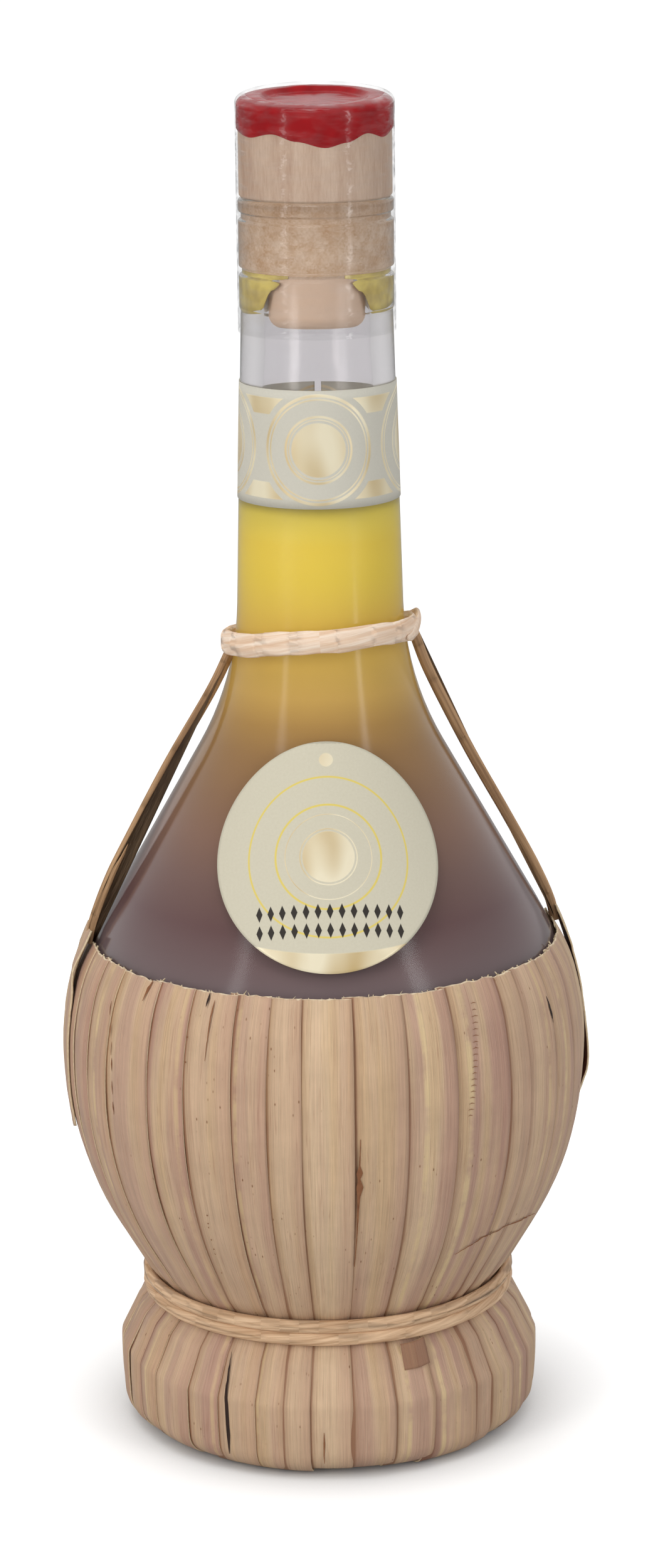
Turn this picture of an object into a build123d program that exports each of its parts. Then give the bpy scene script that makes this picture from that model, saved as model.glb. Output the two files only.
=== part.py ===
"""A straw-covered flask of olive oil: a round-bottomed glass bottle in a basket of
overlapping leaf strips, closed by a wood-headed cork under wax and a clear sleeve.

Millimetres, +Z up, origin on the table under the middle of the foot. The front,
where the round label sits, faces -Y.
"""

import os
from math import atan2, cos, pi, radians, sin, sqrt, tan

from build123d import *

# Glass, outside
glass_lift = 8.0
belly_radius = 46.0
pinch_flank_radius = 30.6
pinch_flank_height = 28.0
flank_angle = 31.0
neck_root_radius = 15.33
neck_root_height = 139.7
neck_top_radius = 13.45
neck_top_height = 206.4
shoulder_angle = 29.5
bottom_round_share = 0.97
belly_low_share = 0.53
belly_high_share = 0.43
neck_root_round = 56.0

# Glass, inside and mouth
glass_wall = 1.9
glass_bottom_wall = 2.4
bore_radius = 9.3
bore_depth = 26.0
finish_radius = 13.7
finish_height = 19.8
groove_depth = 0.4
groove_height = 1.0
lip_height = 2.4
collar_height = 9.2
lip_round = 0.7

# Oil
oil_headspace = 32.2
oil_film = 0.05

# Stopper
cork_clearance = 0.1
cork_length = 22.0
cork_taper = 0.6
cork_taper_length = 9.0
head_radius = 13.2
head_height = 16.7
head_round = 1.0
seat_gap = 0.1

# Wax over the head
wax_wall = 0.4
wax_gap = 0.05
wax_top = 1.9
wax_dish_radius = 9.5
wax_dish_depth = 1.0
wax_shoulder_round = 1.6
wax_skirt = 5.0
wax_drip_angles = (8.0, -57.0, 61.0, 118.0, 171.0, -128.0)
wax_drip_lengths = (2.1, 1.0, 1.1, 1.6, 0.8, 1.9)
wax_drip_width = 5.6

# Clear shrink sleeve
sleeve_clearance = 0.15
sleeve_wall = 0.2
sleeve_drop = 3.7
sleeve_lap = 1.9
sleeve_round = 1.7

# Paper labels
paper_gap = 0.05
paper_wall = 0.15
neck_label_drop = 12.5
neck_label_height = 20.8
neck_label_wrap = 354.0
round_label_drop = 24.1
round_label_length = 43.4
round_label_turn = 1.8
label_reach = 16.0

# Leaf strips of the basket, each lapped over the next like a shingle
leaf_wall = 0.4
leaf_gap = 0.32
leaf_seat = 1.5
leaf_overlap = 0.8
rim_height = 93.0
foot_radius = 38.6
foot_round = 5.0
crease_height = 14.4
tuck_radius = 27.0
taper_height = 1.6
low_bulge_radius = 35.2
low_bulge_height = 21.4
pinch_radius = 31.9
flank_bend_height = 31.3
strip_width_shares = (
    13.0, 9.5, 9.0, 14.0, 10.0, 11.3, 7.9, 7.4, 11.5, 11.6, 11.5,
    14.2, 6.6, 10.5, 10.5, 11.0, 10.5, 13.0, 11.5, 10.0, 12.5, 11.0,
    9.5, 12.0, 11.0, 10.5, 12.0, 9.5, 11.5, 12.0, 10.5, 11.0, 12.5,
)  # fmt: skip
rim_step_shares = (0.0, 0.5, 0.2, 0.9, 0.4, 0.7, 0.1, 0.6, 1.0, 0.3, 0.8)
rim_step = 0.9
first_strip_angle = -88.5

# Foot ring inside the basket
ring_gap = 0.3
ring_height = 20.5

# Tie wound round the waist
tie_height = 26.6
tie_cord_radius = 1.0
tie_pitch = 2.5
tie_gap = 0.15
tie_turns = 2
tie_climb_angle = 75.0
tie_climb_middle = 180.0
tie_turn_arcs = 4
cord_sides = 8
tie_samples = 400

# Tie round the neck
neck_tie_rise = 8.1
neck_tie_half_height = 2.1
neck_tie_half_depth = 0.95
neck_tie_corner_share = 0.45
neck_tie_gap = 0.3
neck_tie_shift_left = 0.15
neck_tie_shift_back = 0.4
neck_tie_front_rise = 7.0
neck_tie_right_rise = 4.0

# Carrying straps and the leaf over each strap's foot
strap_radius = 1.0
strap_plane_angle = 8.0
strap_foot_gap = 0.3
strap_bend_share = 0.45
strap_left_shares = (
    (0.0, 0.7), (0.08, 2.0), (0.23, 3.2), (0.38, 3.5), (0.62, 3.7), (0.86, 3.3), (1.0, 3.7),
)  # fmt: skip
strap_right_shares = (
    (0.0, 0.7), (0.08, 1.9), (0.2, 2.6), (0.37, 2.9), (0.6, 3.1), (0.86, 4.0), (1.0, 5.2),
)  # fmt: skip
cover_half_width = 4.2
cover_gap = 0.2
cover_rise = 2.0
cover_drop = 35.0

# Loose end of a leaf under the waist tie
tab_width = 5.0
tab_height = 3.6
tab_angle = 26.0

overrun = 4.0


def flask_outline(offset_out, bottom, neck_end):
    """Half outline of the flask, moved out by offset_out, from the axis to neck_end."""
    flank = radians(flank_angle)
    shoulder = radians(shoulder_angle)
    flank_radius = pinch_flank_radius + offset_out / cos(flank)
    side = belly_radius + offset_out
    low = (flank_radius - (pinch_flank_height - bottom) * tan(flank), bottom)
    belly = (side, pinch_flank_height + (side - flank_radius) / tan(flank))
    root_radius = neck_root_radius + offset_out / cos(shoulder)
    high = (side, neck_root_height - (side - root_radius) / tan(shoulder))
    root = (
        neck_root_radius + offset_out,
        neck_root_height + offset_out * tan(shoulder / 2),
    )
    bottom_round = bottom_round_share * low[0] / tan((pi / 2 - flank) / 2)
    points = [(0, bottom), low, belly, high, root, neck_end]
    low_round, high_round = belly_rounds()
    rounds = [
        bottom_round,
        low_round + offset_out,
        high_round + offset_out,
        neck_root_round - offset_out,
    ]
    return points, rounds


def belly_rounds():
    """Radii of the belly's lower and upper curves on the glass."""
    flank = radians(flank_angle)
    shoulder = radians(shoulder_angle)
    belly = pinch_flank_height + (belly_radius - pinch_flank_radius) / tan(flank)
    high = neck_root_height - (belly_radius - neck_root_radius) / tan(shoulder)
    run = high - belly
    low_round = belly_low_share * run / tan(flank / 2)
    high_round = belly_high_share * run / tan(shoulder / 2)
    return low_round, high_round


def neck_radius(height):
    """Outer radius of the glass neck at a height."""
    share = (height - neck_root_height) / (neck_top_height - neck_root_height)
    return neck_root_radius + share * (neck_top_radius - neck_root_radius)


def cone_radius(height, offset_out):
    """Radius of the shoulder cone, moved out by offset_out, at a height."""
    shoulder = radians(shoulder_angle)
    root = neck_root_radius + offset_out / cos(shoulder)
    return root + (neck_root_height - height) * tan(shoulder)


def save(piece, name):
    """Label a finished piece and write it to its own file."""
    piece.part.label = name
    export_step(piece.part, f"parts/{name}.step")


os.makedirs("parts", exist_ok=True)

# Glass bottle: outer outline up to the finish, then the inside cut out of it
mouth_height = neck_top_height + finish_height
bore_bottom = mouth_height - bore_depth
outer_points, outer_rounds = flask_outline(
    0, glass_lift, (neck_top_radius, neck_top_height)
)
inner_points, inner_rounds = flask_outline(
    -glass_wall, glass_lift + glass_bottom_wall, (bore_radius, bore_bottom)
)
groove_radius = finish_radius - groove_depth
lip_bottom = mouth_height - lip_height
lip_groove_bottom = lip_bottom - groove_height
collar_groove_bottom = lip_groove_bottom - collar_height - groove_height
with BuildPart() as glass_bottle:
    with BuildSketch(Plane.XZ):
        with BuildLine():
            FilletPolyline(*outer_points, radius=outer_rounds)
            Polyline(
                (neck_top_radius, neck_top_height),
                (finish_radius, neck_top_height + groove_depth),
                (finish_radius, collar_groove_bottom),
                (groove_radius, collar_groove_bottom + groove_depth),
                (groove_radius, collar_groove_bottom + groove_height),
                (finish_radius, collar_groove_bottom + groove_height),
                (finish_radius, lip_groove_bottom),
                (groove_radius, lip_groove_bottom + groove_depth),
                (groove_radius, lip_bottom),
                (finish_radius, lip_bottom),
                (finish_radius, mouth_height),
                (0, mouth_height),
                (0, glass_lift),
            )
        make_face()
        with BuildLine():
            FilletPolyline(*inner_points, radius=inner_rounds)
            Polyline(
                (bore_radius, bore_bottom),
                (bore_radius, mouth_height),
                (0, mouth_height),
                inner_points[0],
            )
        make_face(mode=Mode.SUBTRACT)
    revolve(axis=Axis.Z)
    mouth_edges = glass_bottle.edges().filter_by(GeomType.CIRCLE).group_by(Axis.Z)[-1]
    chamfer(mouth_edges, length=lip_round)
save(glass_bottle, "glass_bottle")

# Oil, filling the inside to its level
oil_points, oil_rounds = flask_outline(
    -glass_wall - oil_film,
    glass_lift + glass_bottom_wall + oil_film,
    (bore_radius - oil_film, bore_bottom),
)
with BuildPart() as olive_oil:
    with BuildSketch(Plane.XZ):
        with BuildLine():
            FilletPolyline(*oil_points, radius=oil_rounds)
            Polyline(oil_points[-1], (0, bore_bottom), oil_points[0])
        make_face()
    revolve(axis=Axis.Z)
    split(bisect_by=Plane.XY.offset(mouth_height - oil_headspace), keep=Keep.BOTTOM)
save(olive_oil, "olive_oil")
print("oil, ml:", round(olive_oil.part.volume / 1000, 1))

# Stopper: a cork shank glued under a turned wooden head
head_bottom = mouth_height + seat_gap
head_top = head_bottom + head_height
with BuildPart() as cork_shank:
    with BuildSketch(Plane.XY.offset(head_bottom)):
        Circle(bore_radius - cork_clearance)
    extrude(amount=-cork_length)
    cork_side = cork_shank.faces().filter_by(GeomType.CYLINDER)[0]
    cork_end = cork_shank.faces().sort_by(Axis.Z)[0]
    chamfer(
        cork_end.edges(), length=cork_taper_length, length2=cork_taper, reference=cork_side
    )
save(cork_shank, "cork_shank")

with BuildPart() as wooden_head:
    with BuildSketch(Plane.XY.offset(head_bottom)):
        Circle(head_radius)
    extrude(amount=head_height)
    fillet(wooden_head.edges().group_by(Axis.Z)[-1], radius=head_round)
    chamfer(wooden_head.edges().group_by(Axis.Z)[0], length=head_round / 2)
save(wooden_head, "wooden_head")

# Wax seal: a cap with a stamped dish on top and drips below its skirt
wax_inner_radius = head_radius + wax_gap
wax_radius = wax_inner_radius + wax_wall
wax_bottom = head_top - wax_skirt
wax_top_height = head_top + wax_top
with BuildPart() as wax_seal:
    with BuildSketch(Plane.XY.offset(wax_bottom)):
        Circle(wax_radius)
    extrude(amount=wax_top_height - wax_bottom)
    fillet(wax_seal.edges().group_by(Axis.Z)[-1], radius=wax_shoulder_round)
    for drip_angle, drip_length in zip(wax_drip_angles, wax_drip_lengths):
        drip_plane = Plane.XZ.rotated((0, 0, drip_angle))
        with BuildSketch(drip_plane):
            with Locations((0, wax_bottom)):
                SlotOverall(
                    2 * drip_length + wax_drip_width, wax_drip_width, rotation=90
                )
        extrude(amount=wax_radius + overrun)
    with BuildSketch(Plane.XY.offset(wax_bottom - wax_drip_width - overrun)):
        Circle(wax_radius)
    extrude(
        amount=wax_top_height - wax_bottom + wax_drip_width + overrun,
        mode=Mode.INTERSECT,
    )
    with BuildSketch(Plane.XY.offset(head_top + wax_gap)):
        Circle(wax_inner_radius)
    extrude(amount=-2 * wax_skirt - overrun, mode=Mode.SUBTRACT)
    with BuildSketch(Plane.XY.offset(wax_top_height)):
        Circle(wax_dish_radius)
    extrude(amount=-wax_dish_depth, mode=Mode.SUBTRACT)
save(wax_seal, "wax_seal")

# Shrink sleeve over the finish, the head and the shoulder of the wax
sleeve_radius = finish_radius + sleeve_clearance
sleeve_top = wax_top_height + sleeve_clearance
sleeve_bottom = neck_top_height - sleeve_drop
with BuildPart() as shrink_sleeve:
    with BuildSketch(Plane.XZ):
        with BuildLine() as sleeve_line:
            FilletPolyline(
                (sleeve_radius, sleeve_bottom),
                (sleeve_radius, sleeve_top),
                (sleeve_radius - sleeve_lap, sleeve_top),
                radius=sleeve_round,
            )
            offset(amount=sleeve_wall, side=Side.RIGHT)
        make_face()
    revolve(axis=Axis.Z)
save(shrink_sleeve, "shrink_sleeve")

# Neck label: a paper band round the neck, its ends at the back
neck_label_top = neck_top_height - neck_label_drop
neck_label_bottom = neck_label_top - neck_label_height
with BuildPart() as neck_label:
    with BuildSketch(Plane.XZ.rotated((0, 0, 90 + (360 - neck_label_wrap) / 2))):
        with BuildLine():
            Polyline(
                (neck_radius(neck_label_bottom) + paper_gap, neck_label_bottom),
                (neck_radius(neck_label_top) + paper_gap, neck_label_top),
                (
                    neck_radius(neck_label_top) + paper_gap + paper_wall,
                    neck_label_top,
                ),
                (
                    neck_radius(neck_label_bottom) + paper_gap + paper_wall,
                    neck_label_bottom,
                ),
                close=True,
            )
        make_face()
    revolve(axis=Axis.Z, revolution_arc=neck_label_wrap)
save(neck_label, "neck_label")

# Round label, bent round the shoulder cone at the front
label_turn = radians(round_label_turn)
round_label_height = neck_root_height - round_label_drop
label_front = Vector(sin(label_turn), -cos(label_turn), 0)
label_middle = cone_radius(round_label_height, 0)
label_slope = Plane(
    origin=label_front * label_middle + Vector(0, 0, round_label_height),
    x_dir=(cos(label_turn), sin(label_turn), 0),
    z_dir=label_front * cos(radians(shoulder_angle))
    + Vector(0, 0, sin(radians(shoulder_angle))),
)
label_bend = round_label_length / 2 / label_middle
paper_out = paper_gap + paper_wall
with BuildPart() as round_label:
    with BuildSketch(Plane.XZ):
        for paper_side, paper_mode in (
            (paper_out, Mode.ADD),
            (paper_gap, Mode.SUBTRACT),
        ):
            paper_points, paper_rounds = flask_outline(
                paper_side, glass_lift, (neck_top_radius + paper_side, neck_top_height)
            )
            with BuildLine():
                FilletPolyline(*paper_points, radius=paper_rounds)
                Polyline(paper_points[-1], (0, neck_top_height), paper_points[0])
            make_face(mode=paper_mode)
    revolve(axis=Axis.Z)
    with BuildSketch(label_slope):
        Ellipse(label_middle * sin(label_bend), round_label_length / 2)
    extrude(amount=label_reach, both=True, mode=Mode.INTERSECT)
save(round_label, "round_label")

# Leaf strips: one profile, pushed sideways at a slant and trimmed to its sector
flank = radians(flank_angle)
pinch_half = tie_pitch / 2 + leaf_wall
pinch_low = tie_height - pinch_half
pinch_high = tie_height + pinch_half
flank_seat = pinch_flank_radius + leaf_seat / cos(flank)
flank_bend_radius = flank_seat + (flank_bend_height - pinch_flank_height) * tan(flank)
basket_points, basket_rounds = flask_outline(leaf_seat, 0, (0, 0))
leaf_points = [
    (tuck_radius, 0),
    (foot_radius, 0),
    (foot_radius, crease_height),
    (low_bulge_radius, low_bulge_height),
    (pinch_radius, pinch_low),
    (pinch_radius, pinch_high),
    (flank_bend_radius, flank_bend_height),
    basket_points[2],
    basket_points[3],
    (cone_radius(neck_root_height, leaf_seat), neck_root_height),
]
leaf_rounds = [foot_round, 0, 0, 0, 0, 0, basket_rounds[1], basket_rounds[2]]
share_total = sum(strip_width_shares)
step_half = (leaf_wall + leaf_gap) / 2


def strip_slant(half_angle):
    """Sideways direction and inward shift of a strip whose one edge rides up."""
    inner = pinch_radius - step_half
    outer = pinch_radius + step_half
    run = (inner + outer) * sin(half_angle)
    rise = (outer - inner) * cos(half_angle)
    middle = (inner + outer) / 2 * cos(half_angle)
    return atan2(rise, run), pinch_radius - middle


def radial_plane(angle, shift=0):
    """Upright plane, shift behind the axis: x outward at angle from the front, y up."""
    outward = Vector(sin(radians(angle)), -cos(radians(angle)), 0)
    sideways = Vector(cos(radians(angle)), sin(radians(angle)), 0)
    return Plane(origin=outward * -shift, x_dir=outward, z_dir=-sideways)


def side_plane(angle):
    """Upright plane facing outward at angle: x sideways, y up."""
    outward = Vector(sin(radians(angle)), -cos(radians(angle)), 0)
    sideways = Vector(cos(radians(angle)), sin(radians(angle)), 0)
    return Plane(origin=(0, 0, 0), x_dir=sideways, z_dir=outward)


def side_cut(top, sense, far):
    """Outline of what a strip keeps beside one edge; sense 1 keeps the +x side."""
    return [
        (sense * leaf_gap / 2, -overrun),
        (sense * leaf_gap / 2, taper_height),
        (-sense * leaf_overlap, crease_height),
        (-sense * leaf_overlap, top),
        (sense * far, top),
        (sense * far, -overrun),
    ]


strip_start = first_strip_angle
strip_middles = []
for index, share in enumerate(strip_width_shares):
    strip_end = strip_start + 360 * share / share_total
    middle = (strip_start + strip_end) / 2
    half_angle = radians(strip_end - strip_start) / 2
    slant, shift = strip_slant(half_angle)
    plane = radial_plane(middle, shift)
    push = plane.x_dir * sin(slant) - plane.z_dir * cos(slant)
    reach = (belly_radius + overrun) * tan(half_angle) + overrun
    rim_share = rim_step_shares[index % len(rim_step_shares)]
    top = rim_height - rim_step * rim_share
    with BuildPart() as strip:
        with BuildSketch(plane):
            with BuildLine():
                leaf_line = FilletPolyline(*leaf_points, radius=leaf_rounds)
                offset(
                    leaf_line, amount=leaf_wall, side=Side.LEFT, kind=Kind.INTERSECTION
                )
            make_face()
        extrude(amount=reach, dir=push, both=True)
        for edge_angle, sense in ((strip_start, 1), (strip_end, -1)):
            with BuildSketch(side_plane(edge_angle)):
                with BuildLine():
                    Polyline(*side_cut(top, sense, belly_radius), close=True)
                make_face()
            extrude(amount=belly_radius + 2 * overrun, mode=Mode.INTERSECT)
    save(strip, f"strip_{index + 1:02d}")
    strip_middles.append((middle, half_angle))
    strip_start = strip_end


# Foot ring: a straw hoop that the round bottom of the glass sits in
bottom_round = outer_rounds[0]
bottom_centre_radius = outer_points[1][0] - bottom_round_share * outer_points[1][0]
bottom_centre_height = glass_lift + bottom_round
ring_inner_radius = bottom_centre_radius + sqrt(
    (bottom_round + ring_gap) ** 2 - (bottom_centre_height - ring_height) ** 2
)
ring_bottom = leaf_wall + leaf_gap
with BuildPart() as base_ring:
    with BuildSketch(Plane.XZ):
        with BuildLine():
            Polyline(
                (ring_inner_radius, ring_bottom),
                (foot_radius - leaf_seat, ring_bottom),
                (foot_radius - leaf_seat, crease_height),
                (low_bulge_radius - leaf_seat, ring_height),
                (ring_inner_radius, ring_height),
                close=True,
            )
        make_face()
        fillet(vertices().group_by(Axis.X)[-1].sort_by(Axis.Y)[0], radius=foot_round)
    revolve(axis=Axis.Z)
save(base_ring, "base_ring")


def biarc(start, start_tangent, end, end_tangent):
    """Draw two arcs that leave start and reach end along the given tangents."""
    chord = end - start
    tangents = start_tangent + end_tangent
    spread = 2 * (1 - start_tangent.dot(end_tangent))
    along = chord.dot(tangents)
    reach = (sqrt(along**2 + spread * chord.dot(chord)) - along) / spread
    joint = (start + end + (start_tangent - end_tangent) * reach) / 2
    first = TangentArc(start, joint, tangent=start_tangent)
    TangentArc(joint, end, tangent=first % 1)


# Waist tie: one cord, two level turns with a climb between them at the back
tie_radius = pinch_radius + step_half + leaf_gap + tie_gap + tie_cord_radius
tie_low = tie_height - tie_pitch * (tie_turns - 1) / 2


def tie_point(angle, height):
    """Point and tangent of the waist tie at an angle from the front."""
    turn = radians(angle)
    point = Vector(tie_radius * sin(turn), -tie_radius * cos(turn), height)
    return point, Vector(cos(turn), sin(turn), 0)


level_angle = 360 - tie_climb_angle
level_step = level_angle / tie_turn_arcs
with BuildPart() as waist_tie:
    with BuildLine() as tie_path:
        angle = tie_climb_middle + tie_climb_angle / 2
        point, tangent = tie_point(angle, tie_low)
        Line(point - tangent * 2 * tie_cord_radius, point)
        for turn in range(tie_turns):
            height = tie_low + turn * tie_pitch
            for _ in range(tie_turn_arcs):
                angle += level_step
                following, next_tangent = tie_point(angle, height)
                TangentArc(point, following, tangent=tangent)
                point, tangent = following, next_tangent
            if turn < tie_turns - 1:
                angle += tie_climb_angle
                following, next_tangent = tie_point(angle, height + tie_pitch)
                biarc(point, tangent, following, next_tangent)
                point, tangent = following, next_tangent
        Line(point, point + tangent * 2 * tie_cord_radius)
    tie_wire = tie_path.wire()
    with BuildSketch(Plane(origin=tie_wire @ 0, z_dir=tie_wire % 0)) as tie_section:
        RegularPolygon(tie_cord_radius, cord_sides)
    sweep(path=tie_wire)
save(waist_tie, "waist_tie")
tie_length = tie_wire.length
tie_ideal = tie_section.sketch.area * tie_length
print("waist tie volume over section times length:", waist_tie.part.volume / tie_ideal)
tie_points = [tie_wire @ (i / tie_samples) for i in range(tie_samples + 1)]
apart = [
    (a - b).length
    for i, a in enumerate(tie_points)
    for j, b in enumerate(tie_points)
    if (j - i) * tie_length / tie_samples > 4 * pi * tie_cord_radius
]
print("waist tie least gap to itself, mm:", round(min(apart) - 2 * tie_cord_radius, 2))

# Neck tie: a flat twist of straw round the neck, level with a tilted plane
neck_tie_height = neck_root_height + neck_tie_rise
neck_tie_axis = Vector(
    -tan(radians(neck_tie_right_rise)), tan(radians(neck_tie_front_rise)), 1
)
neck_tie_centre = Vector(-neck_tie_shift_left, neck_tie_shift_back, neck_tie_height)
root_fall = neck_root_round * tan(radians(shoulder_angle) / 2)
root_lift = (neck_root_height + root_fall - neck_tie_height) ** 2
neck_tie_inner = (
    neck_radius(neck_tie_height) + root_lift / 2 / neck_root_round + neck_tie_gap
)
neck_tie_middle = neck_tie_inner + neck_tie_half_depth
neck_tie_start = neck_tie_axis.cross(Vector(1, 0, 0)).normalized()
neck_tie_plane = Plane(
    neck_tie_centre, x_dir=neck_tie_start.cross(neck_tie_axis), z_dir=neck_tie_start
)
narrow_depth = neck_tie_corner_share * neck_tie_half_depth
narrow_height = neck_tie_corner_share * neck_tie_half_height
with BuildPart() as neck_tie:
    with BuildSketch(neck_tie_plane):
        with BuildLine():
            Polyline(
                (neck_tie_middle - neck_tie_half_depth, -narrow_height),
                (neck_tie_middle - narrow_depth, -neck_tie_half_height),
                (neck_tie_middle + narrow_depth, -neck_tie_half_height),
                (neck_tie_middle + neck_tie_half_depth, -narrow_height),
                (neck_tie_middle + neck_tie_half_depth, narrow_height),
                (neck_tie_middle + narrow_depth, neck_tie_half_height),
                (neck_tie_middle - narrow_depth, neck_tie_half_height),
                (neck_tie_middle - neck_tie_half_depth, narrow_height),
                close=True,
            )
        make_face()
    revolve(axis=Axis(neck_tie_centre, neck_tie_axis))
save(neck_tie, "neck_tie")

# Straps: two rolled reeds from the rim to the neck tie
strap_bottom = rim_height + strap_foot_gap


def corner_radii(points):
    """Arc radius for each corner of a route, as large as its shorter run allows."""
    radii = []
    for before, corner, after in zip(points, points[1:], points[2:]):
        turn = radians((corner - before).get_angle(after - corner))
        shorter = min((corner - before).length, (after - corner).length)
        radii.append(strap_bend_share * shorter / tan(turn / 2))
    return radii


def strap_route(shares, top):
    """Height and stand-off of each point of a strap, from its radius and its shares."""
    return [
        (strap_bottom + height_share * (top - strap_bottom), stand_share * strap_radius)
        for height_share, stand_share in shares
    ]


def strap_stand(route, height):
    """Stand-off of a strap's middle at a height between two points of its route."""
    for (low, low_stand), (high, high_stand) in zip(route, route[1:]):
        if height <= high:
            break
    return low_stand + (height - low) / (high - low) * (high_stand - low_stand)


def strap(name, route, angle):
    """One strap, standing off the shoulder cone."""
    plane = radial_plane(angle)
    points = [
        plane.x_dir * cone_radius(height, stand_off) + Vector(0, 0, height)
        for height, stand_off in route
    ]
    radii = corner_radii(points)
    with BuildPart() as reed:
        with BuildLine() as reed_path:
            FilletPolyline(*points, radius=radii)
        reed_wire = reed_path.wire()
        reed_start = Plane(origin=reed_wire @ 0, z_dir=reed_wire % 0)
        with BuildSketch(reed_start) as reed_section:
            RegularPolygon(strap_radius, cord_sides)
        sweep(path=reed_wire)
    save(reed, name)
    print(name, "radii:", [round(radius) for radius in radii])
    ideal = reed_section.sketch.area * reed_wire.length
    print(name, "volume over section times length:", reed.part.volume / ideal)


side_rise = neck_tie_middle * tan(radians(neck_tie_right_rise))
strap_top = neck_tie_height - neck_tie_half_height - strap_foot_gap - strap_radius
strap_left_angle = -90 + strap_plane_angle
strap_right_angle = 90 + strap_plane_angle
strap_left_route = strap_route(strap_left_shares, strap_top - side_rise)
strap_right_route = strap_route(strap_right_shares, strap_top + side_rise)
strap("strap_left", strap_left_route, strap_left_angle)
strap("strap_right", strap_right_route, strap_right_angle)

# Cover leaves: a loose leaf outside the basket below each strap
low_round, high_round = belly_rounds()
belly_height = outer_points[2][1] + low_round * tan(flank / 2)
cover_line = low_round + leaf_seat + cover_gap + leaf_wall
cover_top = rim_height + cover_rise
cover_bottom = rim_height - cover_drop


def cover_radius(height):
    """Outer radius of a cover leaf where it lies along the belly."""
    return belly_radius - low_round + sqrt(cover_line**2 - (height - belly_height) ** 2)


def cover_leaf(name, angle, route):
    """A flat leaf end that follows the strip beneath it and passes outside the strap."""
    middle, half_angle = min(strip_middles, key=lambda item: abs(item[0] - angle))
    slant, shift = strip_slant(half_angle)
    plane = radial_plane(middle, shift)
    push = plane.x_dir * sin(slant) - plane.z_dir * cos(slant)
    middle_height = (cover_bottom + belly_height) / 2
    stand_off = strap_stand(route, cover_top) + strap_radius + 2 * cover_gap
    top_radius = cone_radius(cover_top, stand_off + leaf_wall)
    width = cover_half_width
    with BuildPart() as leaf:
        with BuildSketch(plane):
            with BuildLine() as leaf_line:
                low = ThreePointArc(
                    (cover_radius(cover_bottom), cover_bottom),
                    (cover_radius(middle_height), middle_height),
                    (cover_radius(belly_height), belly_height),
                )
                TangentArc(low @ 1, (top_radius, cover_top), tangent=low % 1)
                offset(amount=leaf_wall, side=Side.LEFT)
            make_face()
        extrude(amount=width, dir=push, both=True)
        with BuildSketch(side_plane(middle)):
            with BuildLine():
                Polyline(
                    (-width, cover_bottom + width),
                    (-width / 3, cover_bottom),
                    (width, cover_bottom + width / 3),
                    (width, cover_top - width / 2),
                    (width / 4, cover_top),
                    (-width, cover_top - width / 4),
                    close=True,
                )
            make_face()
        extrude(amount=belly_radius + 2 * overrun, mode=Mode.INTERSECT)
    save(leaf, name)


cover_leaf("side_leaf_left", strap_left_angle, strap_left_route)
cover_leaf("side_leaf_right", strap_right_angle, strap_right_route)

# Leaf tab: a leaf end that pokes out below the waist tie
tab_slope = (foot_radius - low_bulge_radius) / (low_bulge_height - crease_height)
tab_top = pinch_low - tie_cord_radius
tab_bottom = tab_top - tab_height
tab_stand_off = step_half + 2 * leaf_gap
tab_top_radius = low_bulge_radius + (low_bulge_height - tab_top) * tab_slope
tab_bottom_radius = low_bulge_radius + (low_bulge_height - tab_bottom) * tab_slope
with BuildPart() as leaf_tab:
    with BuildSketch(radial_plane(tab_angle)):
        with BuildLine():
            Polyline(
                (tab_top_radius + tab_stand_off, tab_top),
                (tab_bottom_radius + tab_stand_off, tab_bottom),
                (tab_bottom_radius + tab_stand_off + leaf_wall, tab_bottom),
                (tab_top_radius + tab_stand_off + leaf_wall, tab_top),
                close=True,
            )
        make_face()
    extrude(amount=tab_width / 2, both=True)
save(leaf_tab, "leaf_tab")
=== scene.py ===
"""The looks of a straw-covered flask of olive oil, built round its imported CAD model."""

from math import asin, atan2, ceil, cos, degrees, exp, hypot, pi, radians, sin, sqrt, tan, tau

import bmesh
import bpy
from mathutils import Matrix, Vector, kdtree, noise


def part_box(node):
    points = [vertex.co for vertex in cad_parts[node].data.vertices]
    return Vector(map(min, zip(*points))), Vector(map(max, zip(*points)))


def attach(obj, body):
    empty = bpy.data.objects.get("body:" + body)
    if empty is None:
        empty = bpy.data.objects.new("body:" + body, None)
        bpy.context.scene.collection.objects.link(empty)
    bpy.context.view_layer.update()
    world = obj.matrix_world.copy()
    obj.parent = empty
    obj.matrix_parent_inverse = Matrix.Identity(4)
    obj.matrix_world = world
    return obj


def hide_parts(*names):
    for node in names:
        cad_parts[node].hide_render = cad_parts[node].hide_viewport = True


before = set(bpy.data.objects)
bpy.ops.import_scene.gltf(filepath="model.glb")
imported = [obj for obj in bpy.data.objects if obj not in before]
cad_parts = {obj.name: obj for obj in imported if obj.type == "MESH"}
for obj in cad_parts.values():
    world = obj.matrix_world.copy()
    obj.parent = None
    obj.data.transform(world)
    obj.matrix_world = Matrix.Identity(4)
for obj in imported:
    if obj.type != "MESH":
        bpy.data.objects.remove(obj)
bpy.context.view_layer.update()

MM = 0.001
scene = bpy.context.scene


# Camera: a long lens a little above the flask, as the photograph was taken, with a
# slight roll of the picture.
camera_place = Vector((0, -717.6, 303.8)) * MM
camera_pitch = radians(14.385)
camera_yaw = radians(0.140)
camera_roll = radians(0.6235)

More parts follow.
